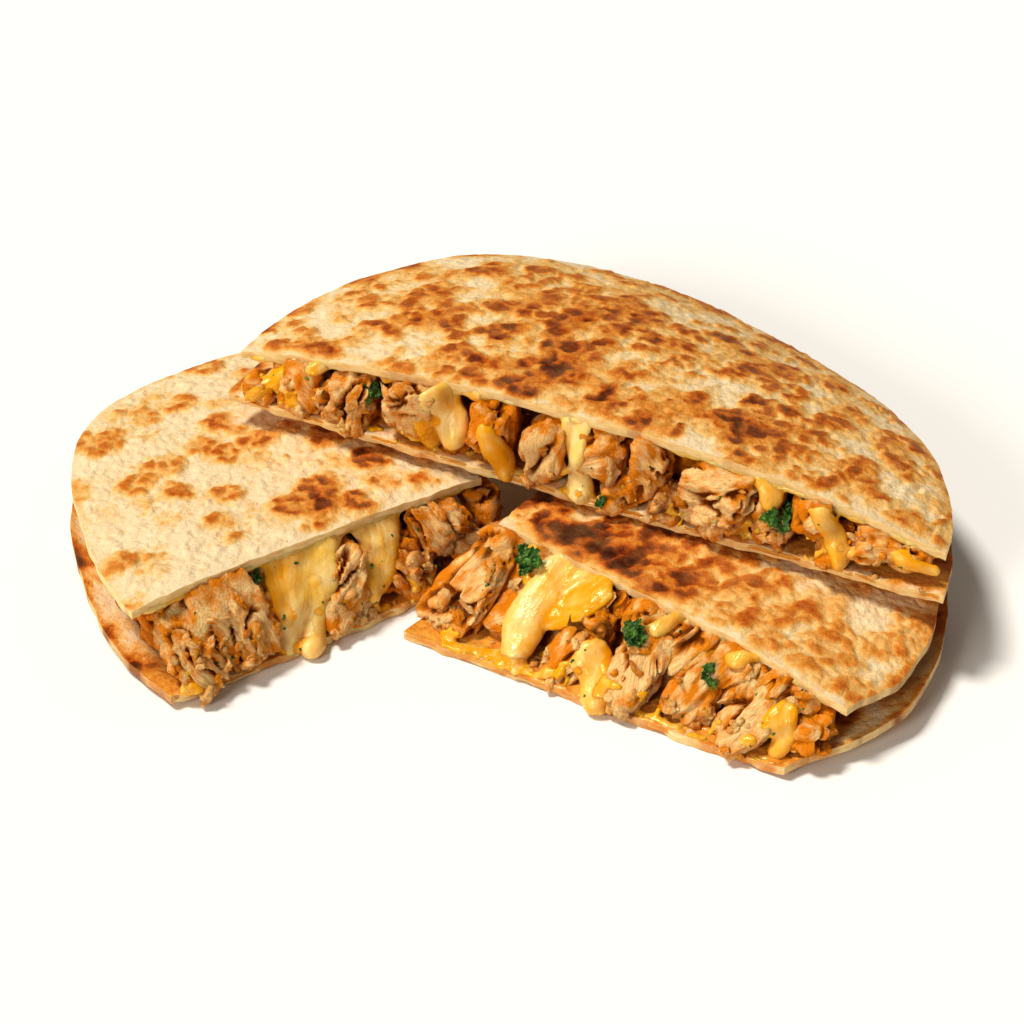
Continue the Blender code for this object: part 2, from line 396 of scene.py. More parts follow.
LEFT_CORNER = (-5.6 * MM, -1.3 * MM)
LEFT_LOW_CORNER = (-3.6 * MM, -17.8 * MM)
LEFT_START = 214.6
LEFT_SWEEP = -86.0
LEFT_FORM = QuarterForm(
    corner=LEFT_CORNER,
    start=LEFT_START,
    sweep=LEFT_SWEEP,
    corner_height=25.5 * MM,
    first_rim=25.5 * MM,
    last_rim=15 * MM,
    crown=3 * MM,
    lift=3 * MM,
)
LEFT_TOP = Plan(
    LEFT_CORNER,
    LEFT_CORNER,
    114 * MM,
    LEFT_START,
    LEFT_SWEEP,
    (Swell(0.10, 162, 19), Swell(-0.04, 128, 14)),
)
LEFT_LOW = Plan(
    LEFT_LOW_CORNER,
    LEFT_CORNER,
    115 * MM,
    LEFT_START,
    LEFT_SWEEP,
    (Swell(0.07, 160, 19), Swell(-0.03, 128, 14), Swell(-0.02, 214, 9)),
)

RIGHT_CORNER = (-0.6 * MM, -23.3 * MM)
RIGHT_LOW_CORNER = (-27.1 * MM, -46.3 * MM)
RIGHT_START = -38.7
RIGHT_SWEEP = 90.0
RIGHT_FORM = QuarterForm(
    corner=RIGHT_CORNER,
    start=RIGHT_START,
    sweep=RIGHT_SWEEP,
    corner_height=25.5 * MM,
    first_rim=18 * MM,
    last_rim=17 * MM,
    crown=4 * MM,
    lift=3 * MM,
)
RIGHT_TOP = Plan(
    RIGHT_CORNER,
    RIGHT_CORNER,
    123 * MM,
    RIGHT_START,
    RIGHT_SWEEP,
    (Swell(-0.05, -39, 7), Swell(0.02, -16, 12)),
)
RIGHT_LOW = Plan(
    RIGHT_LOW_CORNER, RIGHT_CORNER, 128 * MM, -30.0, 80.0, (Swell(-0.13, -30, 9),)
)


# Working in Blender


def deselect() -> None:
    """Deselect every object."""
    for item in bpy.context.scene.objects:
        item.select_set(False)


def activate(item: bpy.types.Object) -> None:
    """Make one object the only selected one and the active one.

    Args:
        item: the object.
    """
    deselect()
    item.select_set(True)
    bpy.context.view_layer.objects.active = item


def read_points(item: bpy.types.Object, what: str = "co") -> np.ndarray:
    """Numbers that a mesh keeps for each vertex.

    Args:
        item: the object.
        what: "co" for places or "normal" for normals.

    Returns:
        Rows of x, y, z.
    """
    points = np.empty(len(item.data.vertices) * 3)
    item.data.vertices.foreach_get(what, points)
    return points.reshape(-1, 3)


def write_points(item: bpy.types.Object, points: np.ndarray) -> None:
    """Put a mesh's vertices in place."""
    item.data.vertices.foreach_set("co", points.reshape(-1))
    item.data.update()


def write(item: bpy.types.Object, **layers: np.ndarray) -> None:
    """Store numbers or vectors by vertex, for the material to read.

    Args:
        item: the object.
        layers: by name, one number or one row of x, y, z for each vertex.
    """
    attributes = item.data.attributes
    for name, values in layers.items():
        kind, part = ("FLOAT", "value") if values.ndim == 1 else ("FLOAT_VECTOR", "vector")
        layer = attributes.get(name) or attributes.new(name, kind, "POINT")
        layer.data.foreach_set(part, np.asarray(values, dtype=np.float32).reshape(-1))


def apply_modifier(item: bpy.types.Object, kind: str, **settings: object) -> None:
    """Add a modifier and apply it.

    Args:
        item: the object.
        kind: type of modifier.
        settings: its properties by name.
    """
    activate(item)
    modifier = item.modifiers.new(kind.lower(), kind)
    for name, value in settings.items():
        setattr(modifier, name, value)
    bpy.ops.object.modifier_apply(modifier=modifier.name)


def smooth(item: bpy.types.Object, degrees: float = 60.0) -> None:
    """Shade an object smooth, with creases sharper than an angle kept."""
    activate(item)
    bpy.ops.object.shade_smooth_by_angle(angle=math.radians(degrees))


def join(items: list[bpy.types.Object], name: str) -> bpy.types.Object:
    """Join several meshes in one object.

    Args:
        items: the objects, which are used up.
        name: name of the joined object.

    Returns:
        The joined object.
    """
    deselect()
    for item in items:
        item.select_set(True)
    bpy.context.view_layer.objects.active = items[0]
    if len(items) > 1:
        bpy.ops.object.join()
    joined = bpy.context.view_layer.objects.active
    joined.name = name
    joined.data.name = name
    return joined


def surface(items: list[bpy.types.Object]) -> BVHTree:
    """Search tree over the faces of several meshes.

    Args:
        items: the objects.

    Returns:
        The tree.
    """
    points = []
    faces = []
    for item in items:
        first = len(points)
        points.extend(tuple(vertex.co) for vertex in item.data.vertices)
        faces.extend([first + index for index in face.vertices] for face in item.data.polygons)
    return BVHTree.FromPolygons(points, faces)


def nearest(places: np.ndarray, points: np.ndarray) -> np.ndarray:
    """Number of the place that is nearest to each point.

    Args:
        places: rows of x, y, z.
        points: rows of x, y, z.

    Returns:
        One row number of the places for each point.
    """
    tree = KDTree(len(places))
    for index, place in enumerate(places):
        tree.insert(place, index)
    tree.balance()
    return np.array([tree.find(point)[1] for point in points])


def dress(item: bpy.types.Object, node: str | None = None) -> None:
    """Say what an object rides on and hide the node it stands for.

    Args:
        item: the object.
        node: the solid that it replaces, if any.
    """
    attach(item, "root")
    if node is not None:
        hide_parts(node)
    LOG.info("%s: %d faces", item.name, len(item.data.polygons))


# Materials


class NodeTree:
    """Short way to lay out a material's nodes."""

    def __init__(self, name: str) -> None:
        """Start a material with a Principled shader.

        Args:
            name: the material's name.
        """
        self.material = bpy.data.materials.new(name)
        self.material.use_nodes = True
        self.nodes = self.material.node_tree.nodes
        self.links = self.material.node_tree.links
        self.shader = self.nodes["Principled BSDF"]

    def add(self, kind: str, inputs: dict | None = None, **settings: object) -> bpy.types.Node:
        """Add a node.

        Args:
            kind: the node's type.
            inputs: by name or number, each a value or the output to link.
            settings: the node's properties.

        Returns:
            The node.
        """
        node = self.nodes.new(kind)
        for name, value in settings.items():
            setattr(node, name, value)
        for name, value in (inputs or {}).items():
            self.plug(node, name, value)
        return node

    def plug(self, node: bpy.types.Node, name: str | int, value: object) -> None:
        """Set or link one input of a node.

        Args:
            node: the node.
            name: the input's name or number.
            value: a value, or the output to link.
        """
        socket = node.inputs[name]
        if isinstance(value, bpy.types.NodeSocket):
            self.links.new(value, socket)
        else:
            socket.default_value = value

    def skin(self, shade: object, rough: object, shine: float, normal: object) -> None:
        """Set what every food has: colour, roughness, shine and relief.

        Args:
            shade: the colour.
            rough: the roughness.
            shine: strength of the reflection.
            normal: the normal of the relief.
        """
        self.plug(self.shader, "Base Color", shade)
        self.plug(self.shader, "Roughness", rough)
        self.plug(self.shader, "Specular IOR Level", shine)
        self.plug(self.shader, "Normal", normal)

    def soften(self, weight: float, colours: tuple[float, float, float], depth: float) -> None:
        """Let light a little way in.

        Args:
            weight: share of the light that goes in.
            colours: how far red, green and blue go, as shares of the depth.
            depth: the depth in metres.
        """
        self.plug(self.shader, "Subsurface Weight", weight)
        self.plug(self.shader, "Subsurface Radius", colours)
        self.plug(self.shader, "Subsurface Scale", depth)

    def value(self, name: str) -> bpy.types.NodeSocket:
        """A stored number of the mesh."""
        return self.add("ShaderNodeAttribute", attribute_name=name).outputs["Fac"]

    def vector(self, name: str) -> bpy.types.NodeSocket:
        """A stored vector of the mesh."""
        return self.add("ShaderNodeAttribute", attribute_name=name).outputs["Vector"]

    def place(self) -> bpy.types.NodeSocket:
        """Object coordinates."""
        return self.add("ShaderNodeTexCoord").outputs["Object"]

    def noise(self, scale: float, detail: float = 4.0, rough: float = 0.55,
              where: bpy.types.NodeSocket | None = None) -> bpy.types.NodeSocket:
        """Noise between 0 and 1 about 0.5.

        Args:
            scale: cells to the unit of the coordinates.
            detail: finer layers.
            rough: strength of the finer layers.
            where: coordinates, the object's own when left out.

        Returns:
            The noise's value.
        """
        where = self.place() if where is None else where
        inputs = {"Vector": where, "Scale": scale, "Detail": detail, "Roughness": rough}
        return self.add("ShaderNodeTexNoise", inputs).outputs["Fac"]

    def math(self, operation: str, first: object, second: object) -> bpy.types.NodeSocket:
        """One sum, product or other operation on two values."""
        inputs = {0: first, 1: second}
        return self.add("ShaderNodeMath", inputs, operation=operation).outputs[0]

    def plus(self, first: object, second: object) -> bpy.types.NodeSocket:
        """Sum of two values."""
        return self.math("ADD", first, second)

    def times(self, first: object, second: object) -> bpy.types.NodeSocket:
        """Product of two values."""
        return self.math("MULTIPLY", first, second)

    def swing(self, value: object, amount: float) -> bpy.types.NodeSocket:
        """Value about 0.5 moved to about 0 and made an amount of times as strong."""
        return self.times(self.math("SUBTRACT", value, 0.5), amount)

    def blend(self, share: object, first: object, second: object) -> bpy.types.NodeSocket:
        """Mix of two colours.

        Args:
            share: 0 for the first colour and 1 for the second.
            first: a colour, or the output to link.
            second: the same.

        Returns:
            The mixed colour.
        """
        node = self.add("ShaderNodeMix", data_type="RGBA")
        self.plug(node, 0, share)
        self.plug(node, 6, first)
        self.plug(node, 7, second)
        return node.outputs[2]

    def ramp(self, value: object, stops: tuple) -> bpy.types.NodeSocket:
        """Colour from a value.

        Args:
            value: what the ramp reads.
            stops: pairs of place and colour.

        Returns:
            The colour.
        """
        node = self.add("ShaderNodeValToRGB", {0: value})
        ramp = node.color_ramp
        while len(ramp.elements) < len(stops):
            ramp.elements.new(0.5)
        for element, (place, colour) in zip(ramp.elements, stops):
            element.position = place
            element.color = colour
        return node.outputs["Color"]

    def spread(self, value: object, low: float, high: float, to_low: float = 0.0,
               to_high: float = 1.0) -> bpy.types.NodeSocket:
        """Value moved from one range to another, held at the ends.

        Args:
            value: what is moved.
            low: start of the range it is in.
            high: end of that range.
            to_low: start of the range it goes to.
            to_high: end of that range.

        Returns:
            The moved value.
        """
        inputs = {0: value, 1: low, 2: high, 3: to_low, 4: to_high}
        return self.add("ShaderNodeMapRange", inputs).outputs[0]

    def bump(self, height: object, depth: float, below: object = None) -> bpy.types.NodeSocket:
        """Relief of the shading.

        Args:
            height: value that rises and falls.
            depth: depth of a full step, in metres.
            below: normal of coarser relief.

        Returns:
            The normal.
        """
        node = self.add("ShaderNodeBump", {"Height": height, "Distance": depth})
        if below is not None:
            self.plug(node, "Normal", below)
        return node.outputs["Normal"]


def colour(red: int, green: int, blue: int) -> tuple[float, float, float, float]:
    """Linear colour from screen values of 0 to 255."""
    shades = [((part / 255 + 0.055) / 1.055) ** 2.4 for part in (red, green, blue)]
    return (*shades, 1.0)


@dataclass(frozen=True)
class ToastedFinish:
    """Flour tortilla off the griddle: cream, with golden halos and brown spots."""

    name: str = "toasted_tortilla"
    cream: tuple = colour(243, 223, 187)
    pale: tuple = colour(238, 196, 126)
    golden: tuple = colour(222, 150, 58)
    orange: tuple = colour(196, 104, 22)
    brown: tuple = colour(126, 54, 10)
    char: tuple = colour(74, 30, 8)
    thin_sauce: tuple = colour(238, 180, 86)
    sauce: tuple = colour(210, 126, 26)

    def build(self) -> bpy.types.Material:
        """Make the finish, which reads the toast and wet values of the mesh.

        Returns:
            The material.
        """
        tree = NodeTree(self.name)
        fine = tree.noise(620.0, 5.0, 0.62)
        grit = tree.noise(2300.0, 3.0, 0.6)
        lift = tree.swing(fine, 0.30)
        toast = tree.plus(tree.value("toast"), tree.plus(lift, tree.swing(grit, 0.16)))
        stops = (
            (0.0, self.cream),
            (0.09, self.cream),
            (0.22, self.pale),
            (0.36, self.golden),
            (0.50, self.orange),
            (0.70, self.brown),
            (0.94, self.char),
        )
        shade = tree.ramp(toast, stops)
        soaked = tree.plus(tree.value("wet"), tree.times(lift, 1.6))
        soaked = tree.spread(soaked, 0.12, 0.62)
        mottle = tree.spread(tree.noise(150.0, 3.0, 0.5), 0.35, 0.7)
        mottled = tree.blend(0.5, shade, self.pale)
        tinted = tree.blend(tree.times(mottle, 0.35), shade, mottled)
        stained = tree.blend(tree.spread(fine, 0.35, 0.7), self.thin_sauce, self.sauce)
        rough = tree.spread(toast, 0.2, 0.8, 0.60, 0.42)
        rough = tree.math("SUBTRACT", rough, tree.times(soaked, 0.26))
        wrinkles = tree.bump(tree.noise(330.0, 5.0, 0.6), 0.9 * MM)
        coarse = tree.bump(fine, 0.35 * MM, wrinkles)
        relief = tree.bump(grit, 0.12 * MM, coarse)
        tree.skin(tree.blend(soaked, tinted, stained), rough, 0.18, relief)
        tree.soften(0.12, (1.0, 0.6, 0.35), 1.2 * MM)
        return tree.material


@dataclass(frozen=True)
class CrumbFinish:
    """Cut edge of a tortilla: pale, soft and slightly layered."""

    name: str = "tortilla_cut"
    pale: tuple = colour(248, 224, 170)
    deep: tuple = colour(238, 200, 132)
    sauce: tuple = colour(212, 124, 24)
    brown: tuple = colour(150, 74, 18)

    def build(self) -> bpy.types.Material:
        """Make the finish of the cut faces.

        Returns:
            The material.
        """
        tree = NodeTree(self.name)
        where = tree.add(
            "ShaderNodeMapping", {"Vector": tree.place(), "Scale": (260.0, 260.0, 1100.0)}
        ).outputs[0]
        layers = tree.noise(1.0, 4.0, 0.6, where)
        shade = tree.blend(tree.spread(layers, 0.38, 0.68), self.pale, self.deep)
        patch = tree.swing(tree.noise(170.0, 4.0, 0.6), 2.2)
        soaked = tree.spread(tree.plus(tree.value("wet"), patch), 0.35, 1.3, 0.0, 0.8)
        shade = tree.blend(soaked, shade, self.sauce)
        toast = tree.spread(tree.value("toast"), 0.25, 0.75, 0.0, 0.85)
        shade = tree.blend(toast, shade, self.brown)
        tree.skin(shade, 0.7, 0.3, tree.bump(layers, 0.3 * MM))
        tree.soften(0.2, (1.0, 0.6, 0.35), 1.5 * MM)
        return tree.material


# Tortillas


class Side(Enum):
    """Which of a slice's two tortillas a piece is."""

    TOP = "top"
    BOTTOM = "bottom"


@dataclass(frozen=True)
class Toasting:
    """How a tortilla took the heat.

    The pitch of the blotches is in millimetres, and their size and soft edge are shares of
    it. The wash and the ground are the toast between them. The fade is what is lost from
    the inner corner to the rim, and the rim what the rim itself gains.
    """

    pitch: float
    size: float
    soft: float
    wash: float
    cores: float
    ground: float
    seed: float
    fade: float = 0.0
    rim: float = 0.0


TOASTINGS = {
    "half": Toasting(10.0, 0.62, 0.34, 0.28, 0.42, 0.08, 0.05, 0.30, 0.06),
    "left": Toasting(14.0, 0.44, 0.24, 0.12, 0.36, 0.07, 0.15, 0.40, 0.06),
    "right": Toasting(10.0, 0.66, 0.32, 0.30, 0.62, 0.11, 0.25, 0.50, 0.08),
    "under": Toasting(15.0, 0.40, 0.25, 0.10, 0.20, 0.08, 0.35, 0.0, 0.26),
}
SAUCE_AMOUNTS = {"half": -0.3, "left": -0.15, "right": 0.12}


@dataclass
class Tortilla:
    """One tortilla of one slice, with its toast, blisters and uneven cut edges."""

    name: str
    side: Side
    plan: Plan
    form: HalfForm | QuarterForm
    noise: Noise
    look: Toasting
    spacing: float = 0.7 * MM
    undulation: float = 0.9 * MM
    settling: float = 1.6 * MM
    bevel: float = 0.75 * MM

    def grid(self) -> tuple[bpy.types.Object, np.ndarray, np.ndarray]:
        """Make a flat grid in the plan's shape.

        Returns:
            The grid, and each vertex's place along and away from the shown cut.
        """
        deselect()
        wide = 2 if self.plan.is_half else 1
        rows = int(min(self.plan.radius / self.spacing, math.sqrt(MOST_CELLS / wide)))
        columns = rows * wide
        bpy.ops.mesh.primitive_grid_add(x_subdivisions=columns, y_subdivisions=rows, size=1.0)
        item = bpy.context.active_object
        item.name = f"{self.name}_{self.side.value}_tortilla_skin"
        points = read_points(item)
        lowest = self.plan.start_of_cut(0.0, -1.0)
        across = lowest + (self.plan.hand * points[:, 0] + 0.5) * (1.0 - lowest)
        return item, across, points[:, 1] + 0.5

    def from_cut(self, flat: np.ndarray) -> np.ndarray:
        """Distance of each point from the line of the shown cut."""
        return np.abs((flat - np.array(self.plan.corner)) @ self.plan.outward)

    def ragged(self, flat: np.ndarray, across: np.ndarray, depth: np.ndarray) -> np.ndarray:
        """Outline made uneven: torn a little along the cuts, wavy round the rim.

        Args:
            flat: rows of x, y.
            across: place along the shown cut.
            depth: place away from it.

        Returns:
            Rows of x, y.
        """
        points = np.column_stack([flat, np.full(len(flat), 0.01)])
        tear = self.noise.layered(points / (7 * MM), 3) * 0.9 * MM
        near_cut = smooth_step(0.06, 0.0, depth)
        tear = tear if self.side is Side.TOP else tear * 1.9
        flat = flat + np.outer(tear * near_cut, self.plan.outward)
        ray = flat - np.array(self.plan.corner)
        wave = self.noise.layered(points / (26 * MM) + 5.0, 3) * 1.7 * MM
        rim = smooth_step(0.9, 1.0, np.hypot(across, depth) / np.sqrt(1 + (across * depth) ** 2))
        return flat + ray / lengths(ray) * (wave * rim - 0.4 * MM * rim)[:, None]

    def toast(self, flat: np.ndarray) -> np.ndarray:
        """How toasted each point is, from 0 to about 1.

        Args:
            flat: rows of x, y.

        Returns:
            One value a row.
        """
        look = self.look
        points = np.column_stack([flat, np.full(len(flat), look.seed)])
        bent = points.copy()
        for size, shift in ((7.0, 2.4), (2.6, 0.8)):
            warp = [self.noise.layered(points / (size * MM) + offset, 2) for offset in (3, 8, 1)]
            bent += np.column_stack(warp) * shift * MM
        blotch = self.noise.cells(bent / (look.pitch * MM))
        broad = self.noise.layered(points / (24 * MM) + 2.2, 2)
        size = look.size + 0.26 * broad
        halo = smooth_step(size + look.soft, size - look.soft, blotch)
        wash = smooth_step(-0.35, 0.5, self.noise.layered(bent / (15 * MM) + 20.0, 3))
        near = self.noise.cells(bent / (4.6 * MM) + 3.0)
        chosen = self.noise.layered(points / (8 * MM) + 31.0, 2) + look.cores
        core = smooth_step(0.60, 0.20, near - 0.26 * chosen) * smooth_step(0.35, 0.95, halo)
        dots = smooth_step(0.25, 0.10, self.noise.cells(bent / (4.6 * MM) + 40.0))
        dots = dots * smooth_step(-0.1, 0.2, self.noise.smooth(points / (12 * MM) + 50.0))
        streaks = self.noise.layered(bent / (2.0 * MM) + 60.0, 2) * 0.10
        value = look.ground + look.wash * wash + (0.36 - 0.6 * look.wash) * halo
        value = value + 0.36 * core + 0.26 * dots * (1.0 - halo) + streaks
        value = value * (0.5 + 0.5 * smooth_step(0.5 * MM, 4 * MM, self.from_cut(flat)))
        spread = self.spread(flat)
        edge = smooth_step(0.965, 0.995, spread + 0.012 * broad)
        value = value * (1.0 - look.fade * smooth_step(0.2, 0.9, spread))
        return np.clip(value + look.rim * edge * (0.6 + 0.8 * chosen), 0.0, 1.0)

    def spread(self, flat: np.ndarray) -> np.ndarray:
        """How near the rim each point is: 0 at the inner corner and 1 at the rim.

        Args:
            flat: rows of x, y.

        Returns:
            One share a row.
        """
        ray = flat - np.array(self.plan.corner)
        length = lengths(ray)
        return length[:, 0] / self.plan.reach(ray / length)

    def wet(self, flat: np.ndarray) -> np.ndarray:
        """How much sauce has soaked into each point of a bottom tortilla.

        Args:
            flat: rows of x, y.

        Returns:
            One value a row.
        """
        points = np.column_stack([flat, np.full(len(flat), 0.03)])
        cut = self.from_cut(flat)
        patches = self.noise.layered(points / (11 * MM), 4) + SAUCE_AMOUNTS[self.name]
        soaked = smooth_step(-0.5, 0.3, patches + 0.35 * smooth_step(0.5 * MM, 6 * MM, cut))
        return soaked * smooth_step(19 * MM, 7 * MM, cut)

    def sway(self, flat: np.ndarray) -> np.ndarray:
        """Height of the broad undulation of the whole tortilla.

        Args:
            flat: rows of x, y.

        Returns:
            One height a row.
        """
        points = np.column_stack([flat, np.full(len(flat), 0.02)])
        wave = self.noise.layered(points / (38 * MM) + 4.0, 2)
        return wave * self.undulation - self.settling

    def relief(self, flat: np.ndarray, toast: np.ndarray) -> np.ndarray:
        """Height of the blisters and wrinkles of the skin.

        Args:
            flat: rows of x, y.
            toast: how toasted each point is.

        Returns:
            One height a row.
        """
        points = np.column_stack([flat, np.full(len(flat), 0.02)])
        warp = self.noise.layered(points / (5 * MM) + 8.0, 2)[:, None] * 1.5 * MM
        folds = np.abs(self.noise.layered((points + warp) / (6.0 * MM) + 1.0, 3))
        dents = self.noise.layered(points / (2.6 * MM) + 6.0, 2)
        raised = smooth_step(0.15, 0.45, toast) - 0.4 * smooth_step(0.5, 0.8, toast)
        plain = 1.0 - 0.6 * smooth_step(0.3, 0.5, toast)
        inner = 0.3 + 0.7 * smooth_step(0.5 * MM, 5 * MM, self.from_cut(flat))
        inner = inner * (1.0 - 0.75 * smooth_step(0.955, 0.99, self.spread(flat)))
        small = (1.45 * folds * plain + 0.36 * dents + 0.80 * raised) * inner
        return small * MM

    def bend(self, item: bpy.types.Object, toast: np.ndarray) -> None:
        """Give the flat tortilla its heights: wrinkled outside, smooth inside.

        Args:
            item: the flat tortilla, with its outer face at height 0.
            toast: how toasted each point of the outer face is.
        """
        points = read_points(item)
        outer = np.abs(points[:, 2]) < 0.1 * MM
        flat = points[:, :2]
        if self.side is Side.TOP:
            height = self.form.top(flat[:, 0], flat[:, 1]) + self.sway(flat)
            height[outer] += self.relief(flat[outer], toast)
            height[~outer] += 0.3 * MM - TORTILLA_THICK
        else:
            height = self.form.bottom(flat[:, 0], flat[:, 1])
            height[~outer] += TORTILLA_THICK
        write_points(item, np.column_stack([flat, height]))

    def build(self, skin: bpy.types.Material, crumb: bpy.types.Material) -> bpy.types.Object:
        """Model the tortilla.

        Args:
            skin: material of its faces.
            crumb: material of its cut edges.

        Returns:
            The finished object.
        """
        item, across, depth = self.grid()
        flat = self.ragged(self.plan.point(across, depth), across, depth)
        is_top = self.side is Side.TOP
        toast = self.toast(flat)
        write_points(item, np.column_stack([flat, np.zeros(len(flat))]))
        write(item, toast=toast)
        if not is_top:
            write(item, wet=self.wet(flat))
        item.data.materials.append(skin)
        item.data.materials.append(crumb)
        apply_modifier(
            item,
            "SOLIDIFY",
            thickness=TORTILLA_THICK,
            offset=-1.0 if is_top else 1.0,
            material_offset_rim=1,
        )
        self.bend(item, toast)
        apply_modifier(
            item, "BEVEL", width=self.bevel, segments=3, angle_limit=math.radians(58), material=1
        )
        smooth(item, 60.0)
        dress(item, f"{self.name}_{self.side.value}_tortilla")
        return item


# Filling


@dataclass(frozen=True)
class ChickenFinish:
    """Chopped cooked chicken in an orange sauce, with browned edges."""

    name: str = "chicken"
    pale: tuple = colour(255, 220, 162)
    tan: tuple = colour(241, 168, 84)
    sauce: tuple = colour(234, 146, 20)
    # Deep brown: thick sauce, and painted shade in the splits and valleys of the pieces.
    deep: tuple = colour(134, 62, 4)
    char: tuple = colour(72, 28, 4)

    def build(self) -> bpy.types.Material:
        """Make the finish, which reads the grain, sauce, char and crevice values of the mesh;
        the crevice value is painted shade, darker in the splits and valleys.

        Returns:
            The material.
        """
        tree = NodeTree(self.name)
        grain = tree.vector("grain")
        fibre = tree.noise(2.4, 5.0, 0.62, grain)
        patch = tree.noise(260.0, 4.0, 0.62)
        meat = tree.blend(tree.spread(fibre, 0.44, 0.72), self.pale, self.tan)
        stain = tree.plus(tree.value("sauce"), tree.swing(patch, 1.7))
        stain = tree.plus(stain, tree.times(fibre, 0.3))
        # Painted shade: the crevice value turns the colour first to sauce orange and then to
        # deep brown, darkest in the splits and valleys of the pieces.
        stain = tree.plus(stain, tree.times(tree.value("crack"), 0.8))
        coated = tree.blend(tree.spread(stain, 0.45, 1.05), meat, self.sauce)
        dark = tree.plus(tree.value("crack"), tree.spread(stain, 1.2, 2.4))
        shade = tree.blend(tree.spread(dark, 0.15, 0.9, 0.0, 0.95), coated, self.deep)
        shade = tree.blend(tree.value("char"), shade, self.char)
        relief = tree.bump(patch, 0.35 * MM, tree.bump(fibre, 1.0 * MM))
        tree.skin(shade, tree.spread(stain, 0.3, 1.0, 0.42, 0.20), 0.4, relief)
        tree.plug(tree.shader, "Specular Tint", (1.0, 0.72, 0.36, 1.0))
        tree.soften(0.25, (1.0, 0.4, 0.15), 2.0 * MM)
        return tree.material


@dataclass
class CutFace:
    """The shown cut of one slice, between its bottom and top tortillas."""

    name: str
    low: Plan
    top: Plan
    form: HalfForm | QuarterForm

    @property
    def outward(self) -> np.ndarray:
        """Direction in which the cut looks, level with the table."""
        return np.array([*self.top.outward, 0.0])

    @property
    def along(self) -> np.ndarray:
        """Direction of the cut, away from the inner corner."""
        return np.array([*self.top.edge, 0.0])

    def lean(self, share: float) -> float:
        """How far the cut leans back for each unit of height.

        Args:
            share: place along the cut.

        Returns:
            The lean, from 0 for an upright cut to 1.2.
        """
        low, top = self.points(np.array([share, share]), np.array([0.0, 1.0]))
        return float(np.clip((low - top) @ self.outward / (top[2] - low[2]), 0.0, 1.2))

    def points(self, share: np.ndarray, rise: np.ndarray, depth: float = 0.0) -> np.ndarray:
        """Places on the cut.

        Args:
            share: place along the cut, 1 at its outer end.
            rise: 0 on the bottom tortilla and 1 under the top one.
            depth: place away from the cut, as in the plan.

        Returns:
            Rows of x, y, z.
        """
        share = np.atleast_1d(np.asarray(share, dtype=float))
        rise = np.atleast_1d(np.asarray(rise, dtype=float))[:, None]
        away = np.full(len(share), depth)
        low = self.low.point(share, away)
        top = self.top.point(share, away)
        floor = self.form.bottom(low[:, 0], low[:, 1]) + TORTILLA_THICK
        roof = self.form.top(top[:, 0], top[:, 1]) - TORTILLA_THICK
        flat = low + (top - low) * rise
        return np.column_stack([flat, floor + (roof - floor) * rise[:, 0]])

    def round_rim(self, depth: float, count: int) -> list[tuple[float, float]]:
        """Places along and away from the cut that follow the round rim.

        Args:
            depth: share of the way out to the rim.
            count: number of places.

        Returns:
            Pairs of share and depth, as in the plan.
        """
        found = []
        for turn in np.linspace(0.06, 0.97, count):
            angle = math.pi * turn if self.top.is_half else math.pi / 2 * turn
            side, away = math.cos(angle), math.sin(angle)
            reach = depth / max(abs(side), away)
            found.append((side * reach, away * reach))
        return found

    def pulled_in(self, points: np.ndarray) -> np.ndarray:
        """Points of one piece, moved together until none is past the rim.

        Args:
            points: rows of x, y, z.

        Returns:
            Rows of x, y, z.
        """
        ray = points[:, :2] - np.array(self.top.corner)
        length = lengths(ray)
        past = length[:, 0] - self.low.radius * self.low.growth(ray / length) + 4.2 * MM
        worst = int(np.argmax(past))
        shift = ray[worst] / length[worst] * max(float(past[worst]), 0.0)
        return points - np.array([shift[0], shift[1], 0.0])

    def kept_inside(self, points: np.ndarray, gap: float = 0.5 * MM) -> np.ndarray:
        """Points moved so that they clear the two tortillas.

        Args:
            points: rows of x, y, z.
            gap: room left under the top tortilla.

        Returns:
            Rows of x, y, z.
        """
        flat = points[:, :2]
        past_top = (flat - np.array(self.top.corner)) @ self.top.outward
        past_low = (flat - np.array(self.low.corner)) @ self.top.outward
        roof = self.form.top(flat[:, 0], flat[:, 1]) - TORTILLA_THICK - gap
        roof = roof + 30 * MM * smooth_step(-0.5 * MM, 4 * MM, past_top)
        floor = self.form.bottom(flat[:, 0], flat[:, 1]) + TORTILLA_THICK - 0.6 * MM
        floor = floor - 10 * MM * smooth_step(1 * MM, 4 * MM, past_low)
        height = np.minimum(points[:, 2], roof)
        ray = flat - np.array(self.top.corner)
        length = lengths(ray)
        limit = self.low.radius * self.low.growth(ray / length) - 4 * MM
        flat = np.array(self.top.corner) + ray * np.minimum(limit[:, None] / length, 1.0)
        return np.column_stack([flat, np.maximum(height, np.maximum(floor, 0.4 * MM))])


@dataclass(frozen=True)
class Chunk:
    """One chopped piece of chicken: its place on the cut and its size in millimetres."""

    share: float
    rise: float
    width: float
    height: float
    depth: float = 14.0
    out: float = 0.0
    grain: float = 80.0
    sauce: float = 0.0
    char: float = 0.0
    away: float = 0.0
    finer: int = 4


